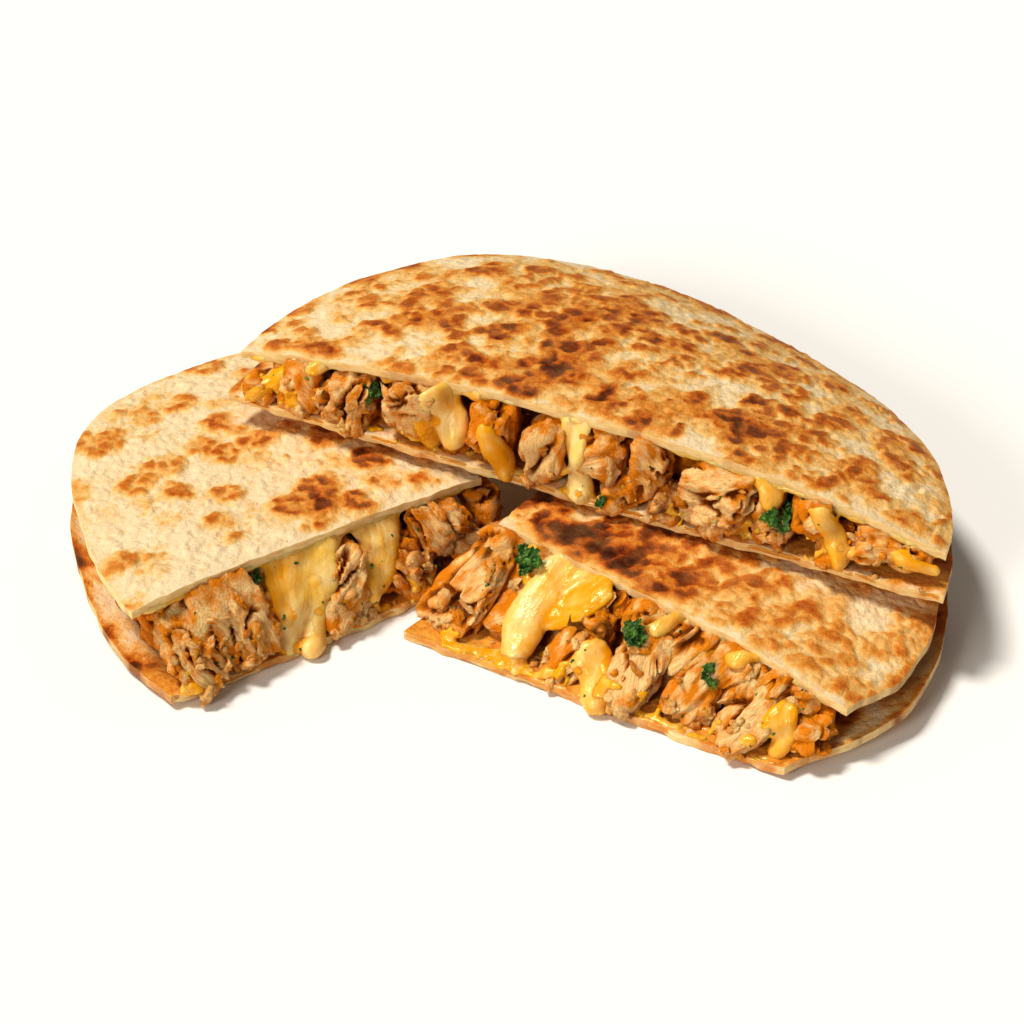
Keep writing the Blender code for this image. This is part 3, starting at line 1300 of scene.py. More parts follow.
FACE_CHUNKS = {
    "half": (
        Chunk(-0.93, 0.16, 12, 9, 12, 1, 20, 0.5),
        Chunk(-0.8, 0.45, 17, 16, 14, 2, -35, 0.1),
        Chunk(-0.66, 0.35, 15, 18, 14, 2, 60, -0.1, 0.1),
        Chunk(-0.49, 0.53, 17, 17, 15, 2, 35, 0.1, 0.2),
        Chunk(-0.36, 0.23, 12, 12, 12, -2, 80, 0.4),
        Chunk(-0.25, 0.55, 15, 17, 15, 4, 70, 0.45, 0.1),
        Chunk(-0.09, 0.45, 16, 21, 15, 3, 78, -0.15),
        Chunk(0.05, 0.71, 15, 11, 14, 1, 20, 0.3),
        Chunk(0.19, 0.59, 12, 13, 14, 2, -40, 0.4),
        Chunk(0.12, 0.23, 14, 9, 13, 1, 5, 0.35),
        Chunk(0.24, 0.17, 11, 10, 12, 2, 30, 0.0, 0.3),
        Chunk(0.38, 0.48, 22, 20, 17, 4, 22, -0.25),
        Chunk(0.5, 0.55, 10, 12, 13, 1, 70, 0.5, 0.2),
        Chunk(0.53, 0.21, 11, 9, 12, 2, 10, -0.1),
        Chunk(0.64, 0.63, 12, 11, 13, 2, 40, 0.1),
        Chunk(0.7, 0.23, 12, 9, 12, 1, 10, 0.3),
        Chunk(0.8, 0.59, 14, 8, 12, 1, 5, 0.0),
        Chunk(0.9, 0.48, 12, 7, 10, 0, 0, 0.2),
    ),
    "left": (
        Chunk(0.945, 0.38, 16, 15, 16, 5, 50, 0.05, 0.1),
        Chunk(0.755, 0.46, 22, 24, 20, 4.5, 86, -0.1),
        Chunk(0.66, 0.75, 10, 12, 12, -2, 60, 0.5, 0.3),
        Chunk(0.58, 0.40, 14, 16, 13, -2, 70, 0.45),
        Chunk(0.43, 0.42, 21, 20, 18, 3, -28, -0.25),
        Chunk(0.28, 0.40, 16, 15, 14, 1, 60, 0.3),
        Chunk(0.22, 0.20, 9, 11, 12, 3, 80, 0.2),
        Chunk(0.13, 0.62, 20, 15, 16, 3, 60, 0.1, 0.3),
        Chunk(0.05, 0.25, 16, 11, 14, 1, 20, 0.2),
        Chunk(-0.02, 0.65, 12, 10, 12, 0, 10, 0.3),
        Chunk(0.91, 0.85, 12, 8, 12, -2, 10, 0.4),
    ),
    "right": (
        Chunk(0.06, 0.36, 20, 21, 20, 2, 48, -0.1, 0.2),
        Chunk(0.04, 0.80, 13, 11, 14, 1, 30, 0.15),
        Chunk(0.17, 0.70, 14, 13, 16, 0, 10, 0.2),
        Chunk(0.20, 0.30, 14, 12, 14, -3, 30, 0.5),
        Chunk(0.35, 0.74, 17, 12, 16, 0, 15, 0.4, 0.7),
        Chunk(0.375, 0.66, 12, 7, 10, 3.5, 10, 0.5, 0.85),
        Chunk(0.39, 0.36, 15, 14, 16, 2, 60, 0.15),
        Chunk(0.54, 0.40, 17, 22, 18, 4, 112, -0.2),
        Chunk(0.47, 0.80, 14, 11, 14, 0, 20, 0.3),
        Chunk(0.60, 0.84, 14, 10, 15, 1, 40, 0.0),
        Chunk(0.68, 0.46, 16, 17, 16, 2, 65, 0.1, 0.1),
        Chunk(0.71, 0.80, 16, 10, 15, 1, 60, 0.3, 0.2),
        Chunk(0.83, 0.38, 19, 16, 18, 1.5, 60, -0.1, 0.1),
        Chunk(0.82, 0.78, 14, 9, 13, 0, 40, 0.25),
        Chunk(0.90, 0.66, 13, 9, 12, 1, 30, 0.1),
        Chunk(0.97, 0.42, 12, 8, 11, 0, 10, 0.5),
    ),
}


def blocky(
    rays: np.ndarray, half: np.ndarray, rng: np.random.Generator
) -> tuple[np.ndarray, np.ndarray]:
    """Distance from the middle to the faces of a chopped block.

    Args:
        rays: rows of unit vectors.
        half: half the width, depth and height.
        rng: source of the block's uneven faces.

    Returns:
        The distances, and how near an edge each ray is, 0 to 1.
    """
    axes = np.vstack([np.eye(3), -np.eye(3)])
    axes = axes + rng.normal(0.0, 0.22, axes.shape)
    planes = np.vstack([axes, rng.normal(size=(7, 3))])
    planes /= np.linalg.norm(planes, axis=1, keepdims=True)
    gaps = np.linalg.norm(planes * half, axis=1) * rng.uniform(0.86, 1.0, len(planes))
    pull = np.maximum(rays @ planes.T, 0.0) / gaps
    distance = (pull ** 14).sum(axis=1) ** (-1 / 14)
    ranked = np.sort(pull, axis=1)
    return distance, smooth_step(0.72, 1.0, ranked[:, -2] / ranked[:, -1])


@dataclass
class Heap:
    """The chopped chicken of one slice, piece by piece."""

    face: CutFace
    noise: Noise
    rng: np.random.Generator

    def sized(self, chunk: Chunk) -> bpy.types.Object:
        """Ball of the right fineness, at the origin.

        Args:
            chunk: the piece it is for; a large shown one gets a finer ball.

        Returns:
            The ball.
        """
        deselect()
        finer = chunk.finer + int(chunk.width * chunk.height > 230 and chunk.away == 0.0)
        bpy.ops.mesh.primitive_ico_sphere_add(subdivisions=finer, radius=1.0)
        return bpy.context.active_object

    def piece(self, chunk: Chunk) -> bpy.types.Object:
        """Model one piece.

        Args:
            chunk: its place, size and look.

        Returns:
            The object, to be joined with the others.
        """
        item = self.sized(chunk)
        rays = read_points(item)
        rays /= np.linalg.norm(rays, axis=1, keepdims=True)
        half = np.array([chunk.width, chunk.depth, chunk.height]) * MM / 2
        distance, edge = blocky(rays, half, self.rng)
        body = rays * distance[:, None]
        run, local = self.along_grain(chunk, body)
        push, crack, bundles = self.fibres(local, rays, run)
        body = body + rays * push[:, None] * MM
        world = self.set_down(chunk, body)
        write_points(item, self.face.kept_inside(self.face.pulled_in(world)))
        # The front faces keep paler meat and the flanks take more sauce orange: partly the
        # sauce, partly painted warm shade on the flanks.
        facing = np.clip(-rays[:, 1], 0.0, 1.0)
        coat = 0.42 + chunk.sauce * 0.7 + 0.75 * self.noise.layered(local / (5 * MM) + 9.0, 3)
        coat = coat + 0.4 * edge + 0.16 - 0.44 * facing + 0.35 * bundles
        burnt = self.noise.layered(local / (5 * MM) + 13.0, 2) + chunk.char + 0.35 * rays[:, 2]
        # Painted shade: the crevice value written here darkens the splits and the valleys
        # between strands and blocks.
        write(
            item,
            sauce=np.clip(coat, 0.0, 1.0),
            crack=smooth_step(0.7, 2.9, crack - push),
            char=smooth_step(0.75, 1.15, burnt + 0.2 * edge) * 0.85,
            grain=local / np.array([1.2, 1.2, 12.0]) / MM,
        )
        return item

    def along_grain(self, chunk: Chunk, body: np.ndarray) -> tuple[np.ndarray, np.ndarray]:
        """Coordinates that follow the grain of one piece.

        Args:
            chunk: the piece.
            body: its points.

        Returns:
            The direction of the grain, and rows of two places across it and one along it.
        """
        slant = math.radians(chunk.grain)
        hand = self.face.top.hand
        run = np.array([hand * math.cos(slant), self.rng.uniform(-0.35, 0.35), math.sin(slant)])
        run /= np.linalg.norm(run)
        side = np.cross(run, [0.0, 1.0, 0.0])
        side /= np.linalg.norm(side)
        other = np.cross(run, side)
        local = np.column_stack([body @ side, body @ other, body @ run])
        local += self.rng.uniform(0.0, 1.0, 3)
        for axis, offset in enumerate((0.0, 5.0)):
            local[:, axis] += self.noise.layered(local / (8 * MM) + offset, 2) * 1.2 * MM
        return run, local

    def fibres(
        self, local: np.ndarray, rays: np.ndarray, run: np.ndarray
    ) -> tuple[np.ndarray, np.ndarray, np.ndarray]:
        """Strands, splits and frayed ends of one piece.

        Args:
            local: its points by the grain.
            rays: their directions from its middle.
            run: direction of the grain.

        Returns:
            How far each point moves out in millimetres, how split it is, and how deep
            between two bundles of strands.
        """
        def scaled(across: float, along: float) -> np.ndarray:
            """Points in cells of a width across the grain and a length along it."""
            return local / np.array([across, across, along]) / MM

        split = np.abs(self.noise.smooth(scaled(5.5, 20.0)))
        open_here = smooth_step(-0.30, 0.3, self.noise.smooth(local / (9 * MM) + 4.0))
        crack = smooth_step(0.19, 0.0, split) * open_here
        bundles = self.noise.cells(scaled(2.7, 15.0)) ** 2
        strands = self.noise.cells(scaled(1.3, 6.5) + 5.0)
        lumps = self.noise.layered(local / (7.5 * MM) + 7.0, 2)
        ends = np.abs(rays @ run) ** 3
        fray = self.noise.layered(scaled(1.6, 4.0) + 2.0, 2)
        blocks = self.noise.cells(scaled(5.6, 7.5) + 9.0) ** 3
        push = lumps * 0.8 - bundles * 2.2 - strands - crack * 3.8 + ends * fray * 1.2
        return push - blocks * 1.3 + 1.5, crack, bundles

    def set_down(self, chunk: Chunk, body: np.ndarray) -> np.ndarray:
        """Put a piece in its place on the cut, turned a little and leaning with it.

        Args:
            chunk: the piece.
            body: its points, along the cut, away from it and upwards.

        Returns:
            Rows of x, y, z.
        """
        outward = self.face.outward
        along = self.face.along * self.face.top.hand
        turn = np.radians(self.rng.uniform(-14.0, 14.0))
        across = along * math.cos(turn) + outward * math.sin(turn)
        inward = -outward * math.cos(turn) + along * math.sin(turn)
        middle = self.face.points(chunk.share, chunk.rise, chunk.away)[0]
        middle = middle + outward * (chunk.out - chunk.depth * 0.42) * MM
        lean = self.face.lean(chunk.share) * 0.85
        world = middle + np.outer(body[:, 0], across) + np.outer(body[:, 1], inward)
        return world + np.outer(body[:, 2], np.array([0.0, 0.0, 1.0]) - outward * lean)

    def rim_chunks(self) -> list[Chunk]:
        """Choose pieces behind the shown ones, seen round the rim and through the gaps.

        Returns:
            The pieces.
        """
        found = []
        behind, round_rim = (30, 44) if self.face.top.is_half else (16, 22)
        lowest = self.face.top.start_of_cut(0.07, -0.93)
        for share in np.linspace(lowest, 0.92, behind):
            away = self.rng.uniform(0.12, 0.18)
            size = self.rng.uniform(11, 16, 3)
            found.append(
                Chunk(share, self.rng.uniform(0.3, 0.8), *size, away=away, finer=4, sauce=0.6)
            )
        for share, away in self.face.round_rim(0.84, round_rim):
            size = self.rng.uniform(10, 16, 3)
            rise = self.rng.uniform(0.3, 0.7)
            found.append(Chunk(share, rise, *size, away=away, finer=3, sauce=0.35))
        return found

    def build(self, chicken: bpy.types.Material) -> bpy.types.Object:
        """Model the heap.

        Args:
            chicken: material of the pieces.

        Returns:
            The joined pieces.
        """
        pieces = [self.piece(chunk) for chunk in FACE_CHUNKS[self.face.name]]
        pieces += [self.piece(chunk) for chunk in self.rim_chunks()]
        heap = join(pieces, f"{self.face.name}_chicken_pieces")
        heap.data.materials.append(chicken)
        smooth(heap, 75.0)
        dress(heap, f"{self.face.name}_chicken")
        return heap


@dataclass(frozen=True)
class CheeseFinish:
    """Melted cheese: pale yellow, stained golden by the sauce, and shiny."""

    name: str = "melted_cheese"
    pale: tuple = colour(248, 221, 162)
    yellow: tuple = colour(245, 201, 98)
    golden: tuple = colour(240, 172, 22)

    def build(self) -> bpy.types.Material:
        """Make the finish, which reads the stain and flow values of the mesh.

        Returns:
            The material.
        """
        tree = NodeTree(self.name)
        broad = tree.noise(130.0, 3.0, 0.55)
        fine = tree.noise(700.0, 4.0, 0.6)
        streak = tree.noise(1.0, 3.0, 0.55, tree.vector("flow"))
        base = tree.blend(tree.spread(broad, 0.35, 0.65), self.pale, self.yellow)
        stain = tree.plus(tree.value("stain"), tree.swing(streak, 1.6))
        shade = tree.blend(tree.spread(stain, 0.2, 1.0), base, self.golden)
        relief = tree.bump(fine, 0.10 * MM, tree.bump(streak, 0.5 * MM))
        tree.skin(shade, tree.spread(fine, 0.3, 0.7, 0.14, 0.26), 0.4, relief)
        tree.plug(tree.shader, "Specular Tint", (1.0, 0.9, 0.7, 1.0))
        tree.soften(0.7, (1.0, 0.7, 0.3), 2.6 * MM)
        return tree.material


@dataclass(frozen=True)
class Drape:
    """One flow of cheese over a cut.

    Each stop is the place along the cut, the rise, half the width in millimetres and
    the thickness in millimetres. The side stain is the extra stain at the outer side.
    """

    stops: tuple[tuple[float, float, float, float], ...]
    stain: float = 0.2
    side_stain: float = 0.0


DRAPES = {
    "left": (
        Drape(((0.52, 1.00, 11, 1.6), (0.52, 0.80, 7.5, 1.9), (0.56, 0.46, 4.6, 2.3),
               (0.61, 0.18, 3.2, 2.6), (0.64, 0.02, 2.2, 2.8)), 0.25, 0.35),
        Drape(((0.52, 0.60, 2.6, 2.0), (0.54, 0.30, 2.6, 2.2), (0.55, 0.05, 2.2, 2.6),
               (0.56, -0.16, 2.2, 2.6), (0.575, -0.32, 2.8, 2.9)), 0.25),
        Drape(((0.60, 0.92, 4, 1.2), (0.61, 0.7, 3, 1.4), (0.62, 0.3, 2, 1.6)), 0.8),
        Drape(((0.31, 1.00, 8, 1.4), (0.31, 0.75, 6.2, 1.8), (0.335, 0.48, 4.6, 2.2),
               (0.36, 0.20, 2.8, 2.6)), 0.45, -0.25),
        Drape(((0.26, 0.95, 3, 1.3), (0.26, 0.70, 2.4, 1.5)), 0.9),
        Drape(((0.44, 1.00, 4, 1.3), (0.45, 0.86, 2.4, 1.5)), 0.3),
        Drape(((0.94, 0.16, 4, 1.0), (0.93, 0.02, 5, 1.4)), 0.8),
    ),
    "right": (
        Drape(((0.21, 1.00, 5, 1.3), (0.215, 0.82, 5.4, 1.6), (0.22, 0.60, 4.6, 2.2),
               (0.235, 0.40, 3.8, 2.8), (0.26, 0.22, 3.2, 3.1), (0.275, 0.08, 2.2, 3.3)),
              0.3, 0.4),
        Drape(((0.34, 1.00, 4.5, 1.0), (0.33, 0.80, 4.2, 1.1), (0.30, 0.62, 3.6, 1.3),
               (0.265, 0.44, 2.6, 1.5)), 0.95),
        Drape(((0.27, 1.00, 2.2, 1.0), (0.265, 0.80, 1.4, 1.0), (0.255, 0.60, 1.4, 1.2)), 0.5),
        Drape(((0.12, 1.00, 2.4, 1.1), (0.14, 0.84, 1.0, 0.9), (0.17, 0.66, 0.8, 0.9)), 0.7),
        Drape(((0.41, 0.48, 2.4, 1.7), (0.45, 0.28, 2.8, 2.1), (0.50, 0.10, 2.6, 2.5),
               (0.54, -0.10, 2.0, 2.7)), 0.5, 0.2),
        Drape(((0.88, 0.80, 3, 1.1), (0.91, 0.56, 2.8, 1.3), (0.94, 0.32, 2.2, 1.6),
               (0.955, 0.06, 1.8, 2.1)), 0.75),
        Drape(((0.53, 1.00, 4, 1.3), (0.54, 0.88, 2.4, 1.4)), 0.5),
        Drape(((0.73, 1.00, 5, 1.3), (0.74, 0.86, 3, 1.4)), 0.7),
    ),
    "half": (
        Drape(((-0.40, 1.00, 4, 1.4), (-0.385, 0.74, 3.2, 1.9), (-0.36, 0.45, 3.0, 2.8),
               (-0.345, 0.20, 2.4, 3.0)), 0.25),
        Drape(((-0.43, 0.55, 2.6, 1.2), (-0.42, 0.25, 2.4, 1.4), (-0.40, 0.02, 2.0, 1.5)), 0.85),
        Drape(((-0.25, 0.70, 2.4, 1.5), (-0.22, 0.38, 2.0, 2.0), (-0.20, 0.10, 1.6, 2.3),
               (-0.19, -0.10, 1.2, 2.2)), 1.0),
        Drape(((-0.30, 1.00, 5, 1.3), (-0.29, 0.88, 3, 1.4)), 0.5),
        Drape(((-0.02, 0.98, 4, 1.3), (-0.01, 0.62, 2.4, 1.5), (0.0, 0.30, 2.4, 1.9),
               (0.01, 0.05, 2.4, 2.2), (0.015, -0.12, 1.8, 2.1)), 0.12),
        Drape(((0.50, 1.00, 4, 1.2), (0.52, 0.84, 2.6, 1.4), (0.53, 0.60, 1.6, 1.4)), 0.7),
        Drape(((0.66, 0.95, 3.4, 1.2), (0.69, 0.62, 1.9, 1.3), (0.72, 0.30, 1.6, 1.6),
               (0.73, 0.10, 1.4, 1.8)), 0.6),
        Drape(((0.86, 0.6, 3, 1.1), (0.92, 0.5, 2.4, 1.3), (0.97, 0.4, 1.8, 1.2)), 0.6),
        Drape(((-0.75, 1.0, 5, 1.2), (-0.74, 0.86, 3, 1.3)), 0.6),
        Drape(((-0.86, 0.7, 3.2, 0.9), (-0.90, 0.36, 2.6, 1.0), (-0.93, 0.05, 2, 1.1)), 0.95),
        Drape(((-0.56, 1.0, 4, 1.2), (-0.57, 0.8, 2.4, 1.3)), 0.4),
    ),
}


PUDDLES = {"half": 34, "left": 14, "right": 30}


@dataclass
class MeltedCheese:
    """The cheese of one slice: a layer under the top tortilla and flows over the cut."""

    face: CutFace
    noise: Noise
    rng: np.random.Generator
    voxel: float = 0.62 * MM
    cut_height: float = 19 * MM
    step: float = 0.75 * MM
    columns: int = 21
    cast_from: float = 32 * MM

    def laid(self, drape: Drape) -> tuple[np.ndarray, np.ndarray, np.ndarray]:
        """Rows of places across a flow, on the plane of the cut.

        Args:
            drape: the flow.

        Returns:
            Grids of x, y, z, of radii and of coordinates drawn out along the flow.
        """
        stops = np.array(drape.stops)
        size = np.array([self.face.top.radius, self.cut_height])
        flat = stops[:, :2] * size
        legs = np.linalg.norm(np.diff(flat, axis=0), axis=1)
        where = np.concatenate([[0.0], np.cumsum(legs)])
        steps = np.arange(0.0, where[-1], self.step)
        path = np.column_stack([np.interp(steps, where, flat[:, axis]) for axis in (0, 1)])
        for _ in range(6):
            path[1:-1] = (path[:-2] + 2 * path[1:-1] + path[2:]) / 4
        width = np.interp(steps, where, stops[:, 2]) * MM
        thick = np.interp(steps, where, stops[:, 3]) * MM * 0.95
        drift = np.column_stack([steps / (7 * MM), np.full((len(steps), 2), stops[0, 0] * 9)])
        width = width * (1.0 + 0.5 * self.noise.layered(drift, 2))
        ends = [where[-1] - steps]
        if stops[0, 1] < 0.9:  # it starts on the cut, not under the top tortilla
            ends.append(steps)
        for left in ends:
            left = np.clip(left / np.maximum(width, 0.5 * MM), 0.0, 1.0)
            width = width * np.sqrt(1.0 - (1.0 - left) ** 2 + 0.02)
        lean = np.gradient(path, axis=0)
        lean /= np.maximum(np.linalg.norm(lean, axis=1, keepdims=True), 1e-9)
        normal = np.column_stack([-lean[:, 1], lean[:, 0]])
        spots = np.linspace(-1.0, 1.0, self.columns)
        grid = path[:, None] + normal[:, None] * (spots[None, :] * width[:, None])[..., None]
        rolled = 1.12 - 0.42 * spots ** 2
        radii = thick[:, None] * rolled[None, :]
        share, rise = (grid.reshape(-1, 2) / size).T
        places = self.face.points(share, np.minimum(rise, 0.99)).reshape(*grid.shape[:2], 3)
        across = spots[None, :] * width[:, None] / (2.0 * MM) + stops[0, 0] * 31
        along = np.broadcast_to(steps[:, None] / (9 * MM), across.shape)
        flow = np.dstack([across, along, np.full(across.shape, stops[0, 1] * 7)])
        return places, radii, flow

    def settled(self, places: np.ndarray, radii: np.ndarray, ground: BVHTree) -> np.ndarray:
        """Places moved out to lie on what is behind the flow.

        Args:
            places: grid of x, y, z on the cut.
            radii: grid of radii.
            ground: surface the cheese lies on.

        Returns:
            Grid of x, y, z.
        """
        outward = self.face.outward
        offset = np.full(radii.shape, -3 * MM)
        for spot in np.ndindex(*radii.shape):
            origin = Vector(places[spot] + outward * self.cast_from)
            hit = ground.ray_cast(origin, Vector(-outward), self.cast_from + 10 * MM)
            if hit[0] is not None:
                offset[spot] = self.cast_from - hit[3]
        for _ in range(24):
            padded = np.pad(offset, 1, mode="edge")
            mean = padded[:-2, 1:-1] + padded[2:, 1:-1] + padded[1:-1, :-2] + padded[1:-1, 2:]
            offset = np.maximum(mean / 4, offset - 0.12 * MM)
        moved = places + outward * (offset + radii * 0.25)[..., None]
        moved[..., 2] = np.maximum(moved[..., 2], radii * 0.9)
        return moved

    def band(self) -> tuple[np.ndarray, np.ndarray]:
        """Balls of the layer that shows under the edge of the top tortilla, all round.

        Returns:
            Rows of x, y, z, and one radius a row.
        """
        lowest = self.face.top.start_of_cut(0.02, -0.97)
        share = np.arange(lowest, 0.97, 0.9 * MM / self.face.top.radius)
        balls = []
        radii = []
        for depth, drop in ((0.012, 1.4), (0.03, 1.8), (0.055, 2.2), (0.085, 2.4)):
            drift = np.column_stack([share * 16, np.full(len(share), depth * 60), share * 0])
            size = (1.35 + 0.75 * self.noise.layered(drift, 2)) * MM
            places = self.face.points(share, np.full(len(share), 1.0), depth)
            places[:, 2] -= drop * MM * 0.4 + size * 0.6
            balls.append(places[size > 0.9 * MM])
            radii.append(size[size > 0.9 * MM])
        for depth in (0.80, 0.845, 0.89):
            ring = np.array(self.face.round_rim(depth, 420 if self.face.top.is_half else 200))
            drift = np.column_stack([ring * 9, np.full(len(ring), depth * 12)])
            size = (1.2 + 1.3 * self.noise.layered(drift, 3)) * MM
            places = np.vstack([self.face.points(*pair[:1], 1.0, pair[1]) for pair in ring])
            places[:, 2] -= size * 0.5 + 0.4 * MM
            balls.append(places[size > 1.0 * MM])
            radii.append(size[size > 1.0 * MM])
        return np.vstack(balls), np.concatenate(radii)

    def puddles(self, ground: BVHTree) -> tuple[np.ndarray, np.ndarray]:
        """Balls of the sauce and cheese that ran on the lip of the bottom tortilla.

        Args:
            ground: surface the cheese lies on.

        Returns:
            Rows of x, y, z, and one radius a row.
        """
        lowest = self.face.top.start_of_cut(0.02, -0.95)
        found = []
        for _ in range(PUDDLES[self.face.name]):
            share = self.rng.uniform(lowest, 0.92)
            away = self.rng.uniform(0.003, 0.05)
            size = self.rng.uniform(1.4, 4.2)
            for _ in range(int(5 * size)):
                step = self.rng.normal(0.0, size * 0.45, 2) * MM / self.face.low.radius
                away_here = max(away + 0.6 * step[1], 0.0)
                spot = np.array([share + 1.6 * step[0]]), np.array([away_here])
                flat = self.face.low.point(*spot)[0]
                roof = float(self.face.form.bottom(*flat)) + 9 * MM
                hit = ground.ray_cast(Vector((*flat, roof)), Vector((0, 0, -1)), 0.02)[0]
                if hit is not None:
                    found.append([*hit, self.rng.uniform(0.75, 1.25) * MM])
        table = np.array(found)
        table[:, 2] -= table[:, 3] * 0.1
        return table[:, :3], table[:, 3]

    def balls(self, places: np.ndarray, radii: np.ndarray) -> bpy.types.Object:
        """Mesh of many small balls.

        Args:
            places: rows of x, y, z.
            radii: one radius a row.

        Returns:
            The object.
        """
        deselect()
        bpy.ops.mesh.primitive_ico_sphere_add(subdivisions=2, radius=1.0)
        item = bpy.context.active_object
        shape = read_points(item)
        faces = np.array([face.vertices[:] for face in item.data.polygons])
        points = places[:, None] + shape[None] * radii[:, None, None]
        step = np.arange(len(places))[:, None, None] * len(shape)
        mesh = bpy.data.meshes.new(f"{self.face.name}_melted_cheese")
        mesh.from_pydata(points.reshape(-1, 3), [], (faces[None] + step).reshape(-1, 3))
        item.data = mesh
        return item

    def build(self, cheese: bpy.types.Material, ground: BVHTree) -> bpy.types.Object:
        """Model the cheese.

        Args:
            cheese: its material.
            ground: surface the flows lie on.

        Returns:
            The finished object.
        """
        places, radii = self.band()
        stains = np.full(len(radii), 0.3)
        flows = places / (5 * MM)
        for drape in DRAPES[self.face.name]:
            grid, sizes, flow = self.laid(drape)
            flows = np.vstack([flows, flow.reshape(-1, 3)])
            grid = self.settled(grid, sizes, ground)
            places = np.vstack([places, grid.reshape(-1, 3)])
            radii = np.concatenate([radii, sizes.ravel()])
            spots = np.linspace(-1.0, 1.0, sizes.shape[1])
            fade = np.linspace(1.0, 0.1, sizes.shape[0])
            stain = drape.stain + np.outer(fade, spots * drape.side_stain) + 0.3 * spots ** 6
            stains = np.concatenate([stains, stain.ravel()])
        spilt, sizes = self.puddles(ground)
        flows = np.vstack([flows, spilt / (3 * MM)])
        stains = np.concatenate([stains, self.rng.uniform(0.6, 1.3, len(sizes))])
        places = np.vstack([self.face.kept_inside(places, 0.2 * MM), spilt])
        radii = np.concatenate([radii, sizes])
        item = self.balls(places, radii)
        item.name = f"{self.face.name}_melted_cheese"
        apply_modifier(item, "REMESH", mode="VOXEL", voxel_size=self.voxel)
        apply_modifier(item, "SMOOTH", factor=0.5, iterations=9)
        points = read_points(item)
        normals = read_points(item, "normal")
        waves = self.noise.layered(points / (5 * MM) + 3.0, 3) * 0.4 * MM
        points = points + normals * waves[:, None]
        points[:, 2] = np.maximum(points[:, 2], 0.05 * MM)
        write_points(item, points)
        near = nearest(places, points)
        blur = self.noise.layered(points / (6 * MM) + 11.0, 3) * 0.5
        write(item, stain=np.clip(stains[near] + blur, 0.0, 1.0), flow=flows[near])
        item.data.materials.append(cheese)
        smooth(item, 80.0)
        dress(item, f"{self.face.name}_cheese")
        return item


@dataclass
class Core:
    """Saucy filling behind the shown pieces of one slice, darkened all over as painted shade in
    the gaps between them.
    """

    face: CutFace
    noise: Noise
    cuts: int = 70
    behind: float = 0.10
    deepest: float = 0.89
    gap: float = 0.4 * MM

    def build(self, chicken: bpy.types.Material) -> bpy.types.Object:
        """Model the core.

        Args:
            chicken: material of the filling.

        Returns:
            The finished object.
        """
        deselect()
        bpy.ops.mesh.primitive_cube_add(size=1.0)
        item = bpy.context.active_object
        bpy.ops.object.mode_set(mode="EDIT")
        bpy.ops.mesh.select_all(action="SELECT")
        bpy.ops.mesh.subdivide(number_cuts=self.cuts)
        bpy.ops.object.mode_set(mode="OBJECT")
        cube = read_points(item) * np.array([self.face.top.hand, 1.0, 1.0]) + 0.5
        lowest = self.face.top.start_of_cut(0.07, -0.9)
        across = lowest + cube[:, 0] * (0.9 - lowest)
        away = self.behind + cube[:, 1] * (self.deepest - self.behind)
        low = self.face.low.point(across, away)
        top = self.face.top.point(across, away)
        flat = low + (top - low) * cube[:, 2:]
        rise = 0.02 + 0.96 * cube[:, 2]
        floor = self.face.form.bottom(flat[:, 0], flat[:, 1]) + TORTILLA_THICK
        roof = self.face.form.top(flat[:, 0], flat[:, 1]) - TORTILLA_THICK - self.gap
        points = np.column_stack([flat, floor + (roof - floor) * rise])
        write_points(item, points)
        level = read_points(item, "normal") * np.array([1.0, 1.0, 0.2])
        lumps = self.noise.layered(points / (9 * MM), 4) * 3.4 * MM
        points = points + level * lumps[:, None]
        write_points(item, self.face.kept_inside(points))
        item.name = f"{self.face.name}_filling_core"
        sauce = 0.75 + 0.4 * self.noise.layered(points / (6 * MM), 3)
        # Painted shade: the crevice value darkens the core all over and most in its dents, for
        # the dark gaps between the pieces.
        write(
            item,
            sauce=np.clip(sauce, 0.0, 1.0),
            crack=smooth_step(-0.6, 0.8, 0.2 - lumps / (3 * MM)),
            char=np.zeros(len(points)),
            grain=points / (2 * MM),
        )
        item.data.materials.append(chicken)
        smooth(item, 70.0)
        dress(item)
        return item


@dataclass(frozen=True)
class SauceFinish:
    """Thin spiced sauce: orange-brown, wet and see-through."""

    name: str = "sauce"
    thin: tuple = colour(240, 182, 84)
    thick: tuple = colour(214, 132, 28)

    def build(self) -> bpy.types.Material:
        """Make the finish of the sauce.

        Returns:
            The material.
        """
        tree = NodeTree(self.name)
        patch = tree.noise(210.0, 4.0, 0.6)
        shade = tree.blend(tree.spread(patch, 0.35, 0.7), self.thin, self.thick)
        tree.skin(shade, 0.16, 0.6, tree.bump(tree.noise(420.0, 4.0, 0.6), 0.5 * MM))
        tree.soften(0.3, (1.0, 0.5, 0.15), 1.5 * MM)
        return tree.material


@dataclass(frozen=True)
class HerbFinish:
    """Wet chopped parsley."""

    name: str = "herb"
    dark: tuple = colour(38, 84, 22)
    light: tuple = colour(112, 152, 52)

    def build(self) -> bpy.types.Material:
        """Make the finish of the leaves.

        Returns:
            The material.
        """
        tree = NodeTree(self.name)
        patch = tree.noise(520.0, 4.0, 0.6)
        shade = tree.blend(tree.spread(patch, 0.42, 0.72), self.dark, self.light)
        tree.skin(shade, 0.32, 0.5, tree.bump(patch, 0.4 * MM))
        return tree.material


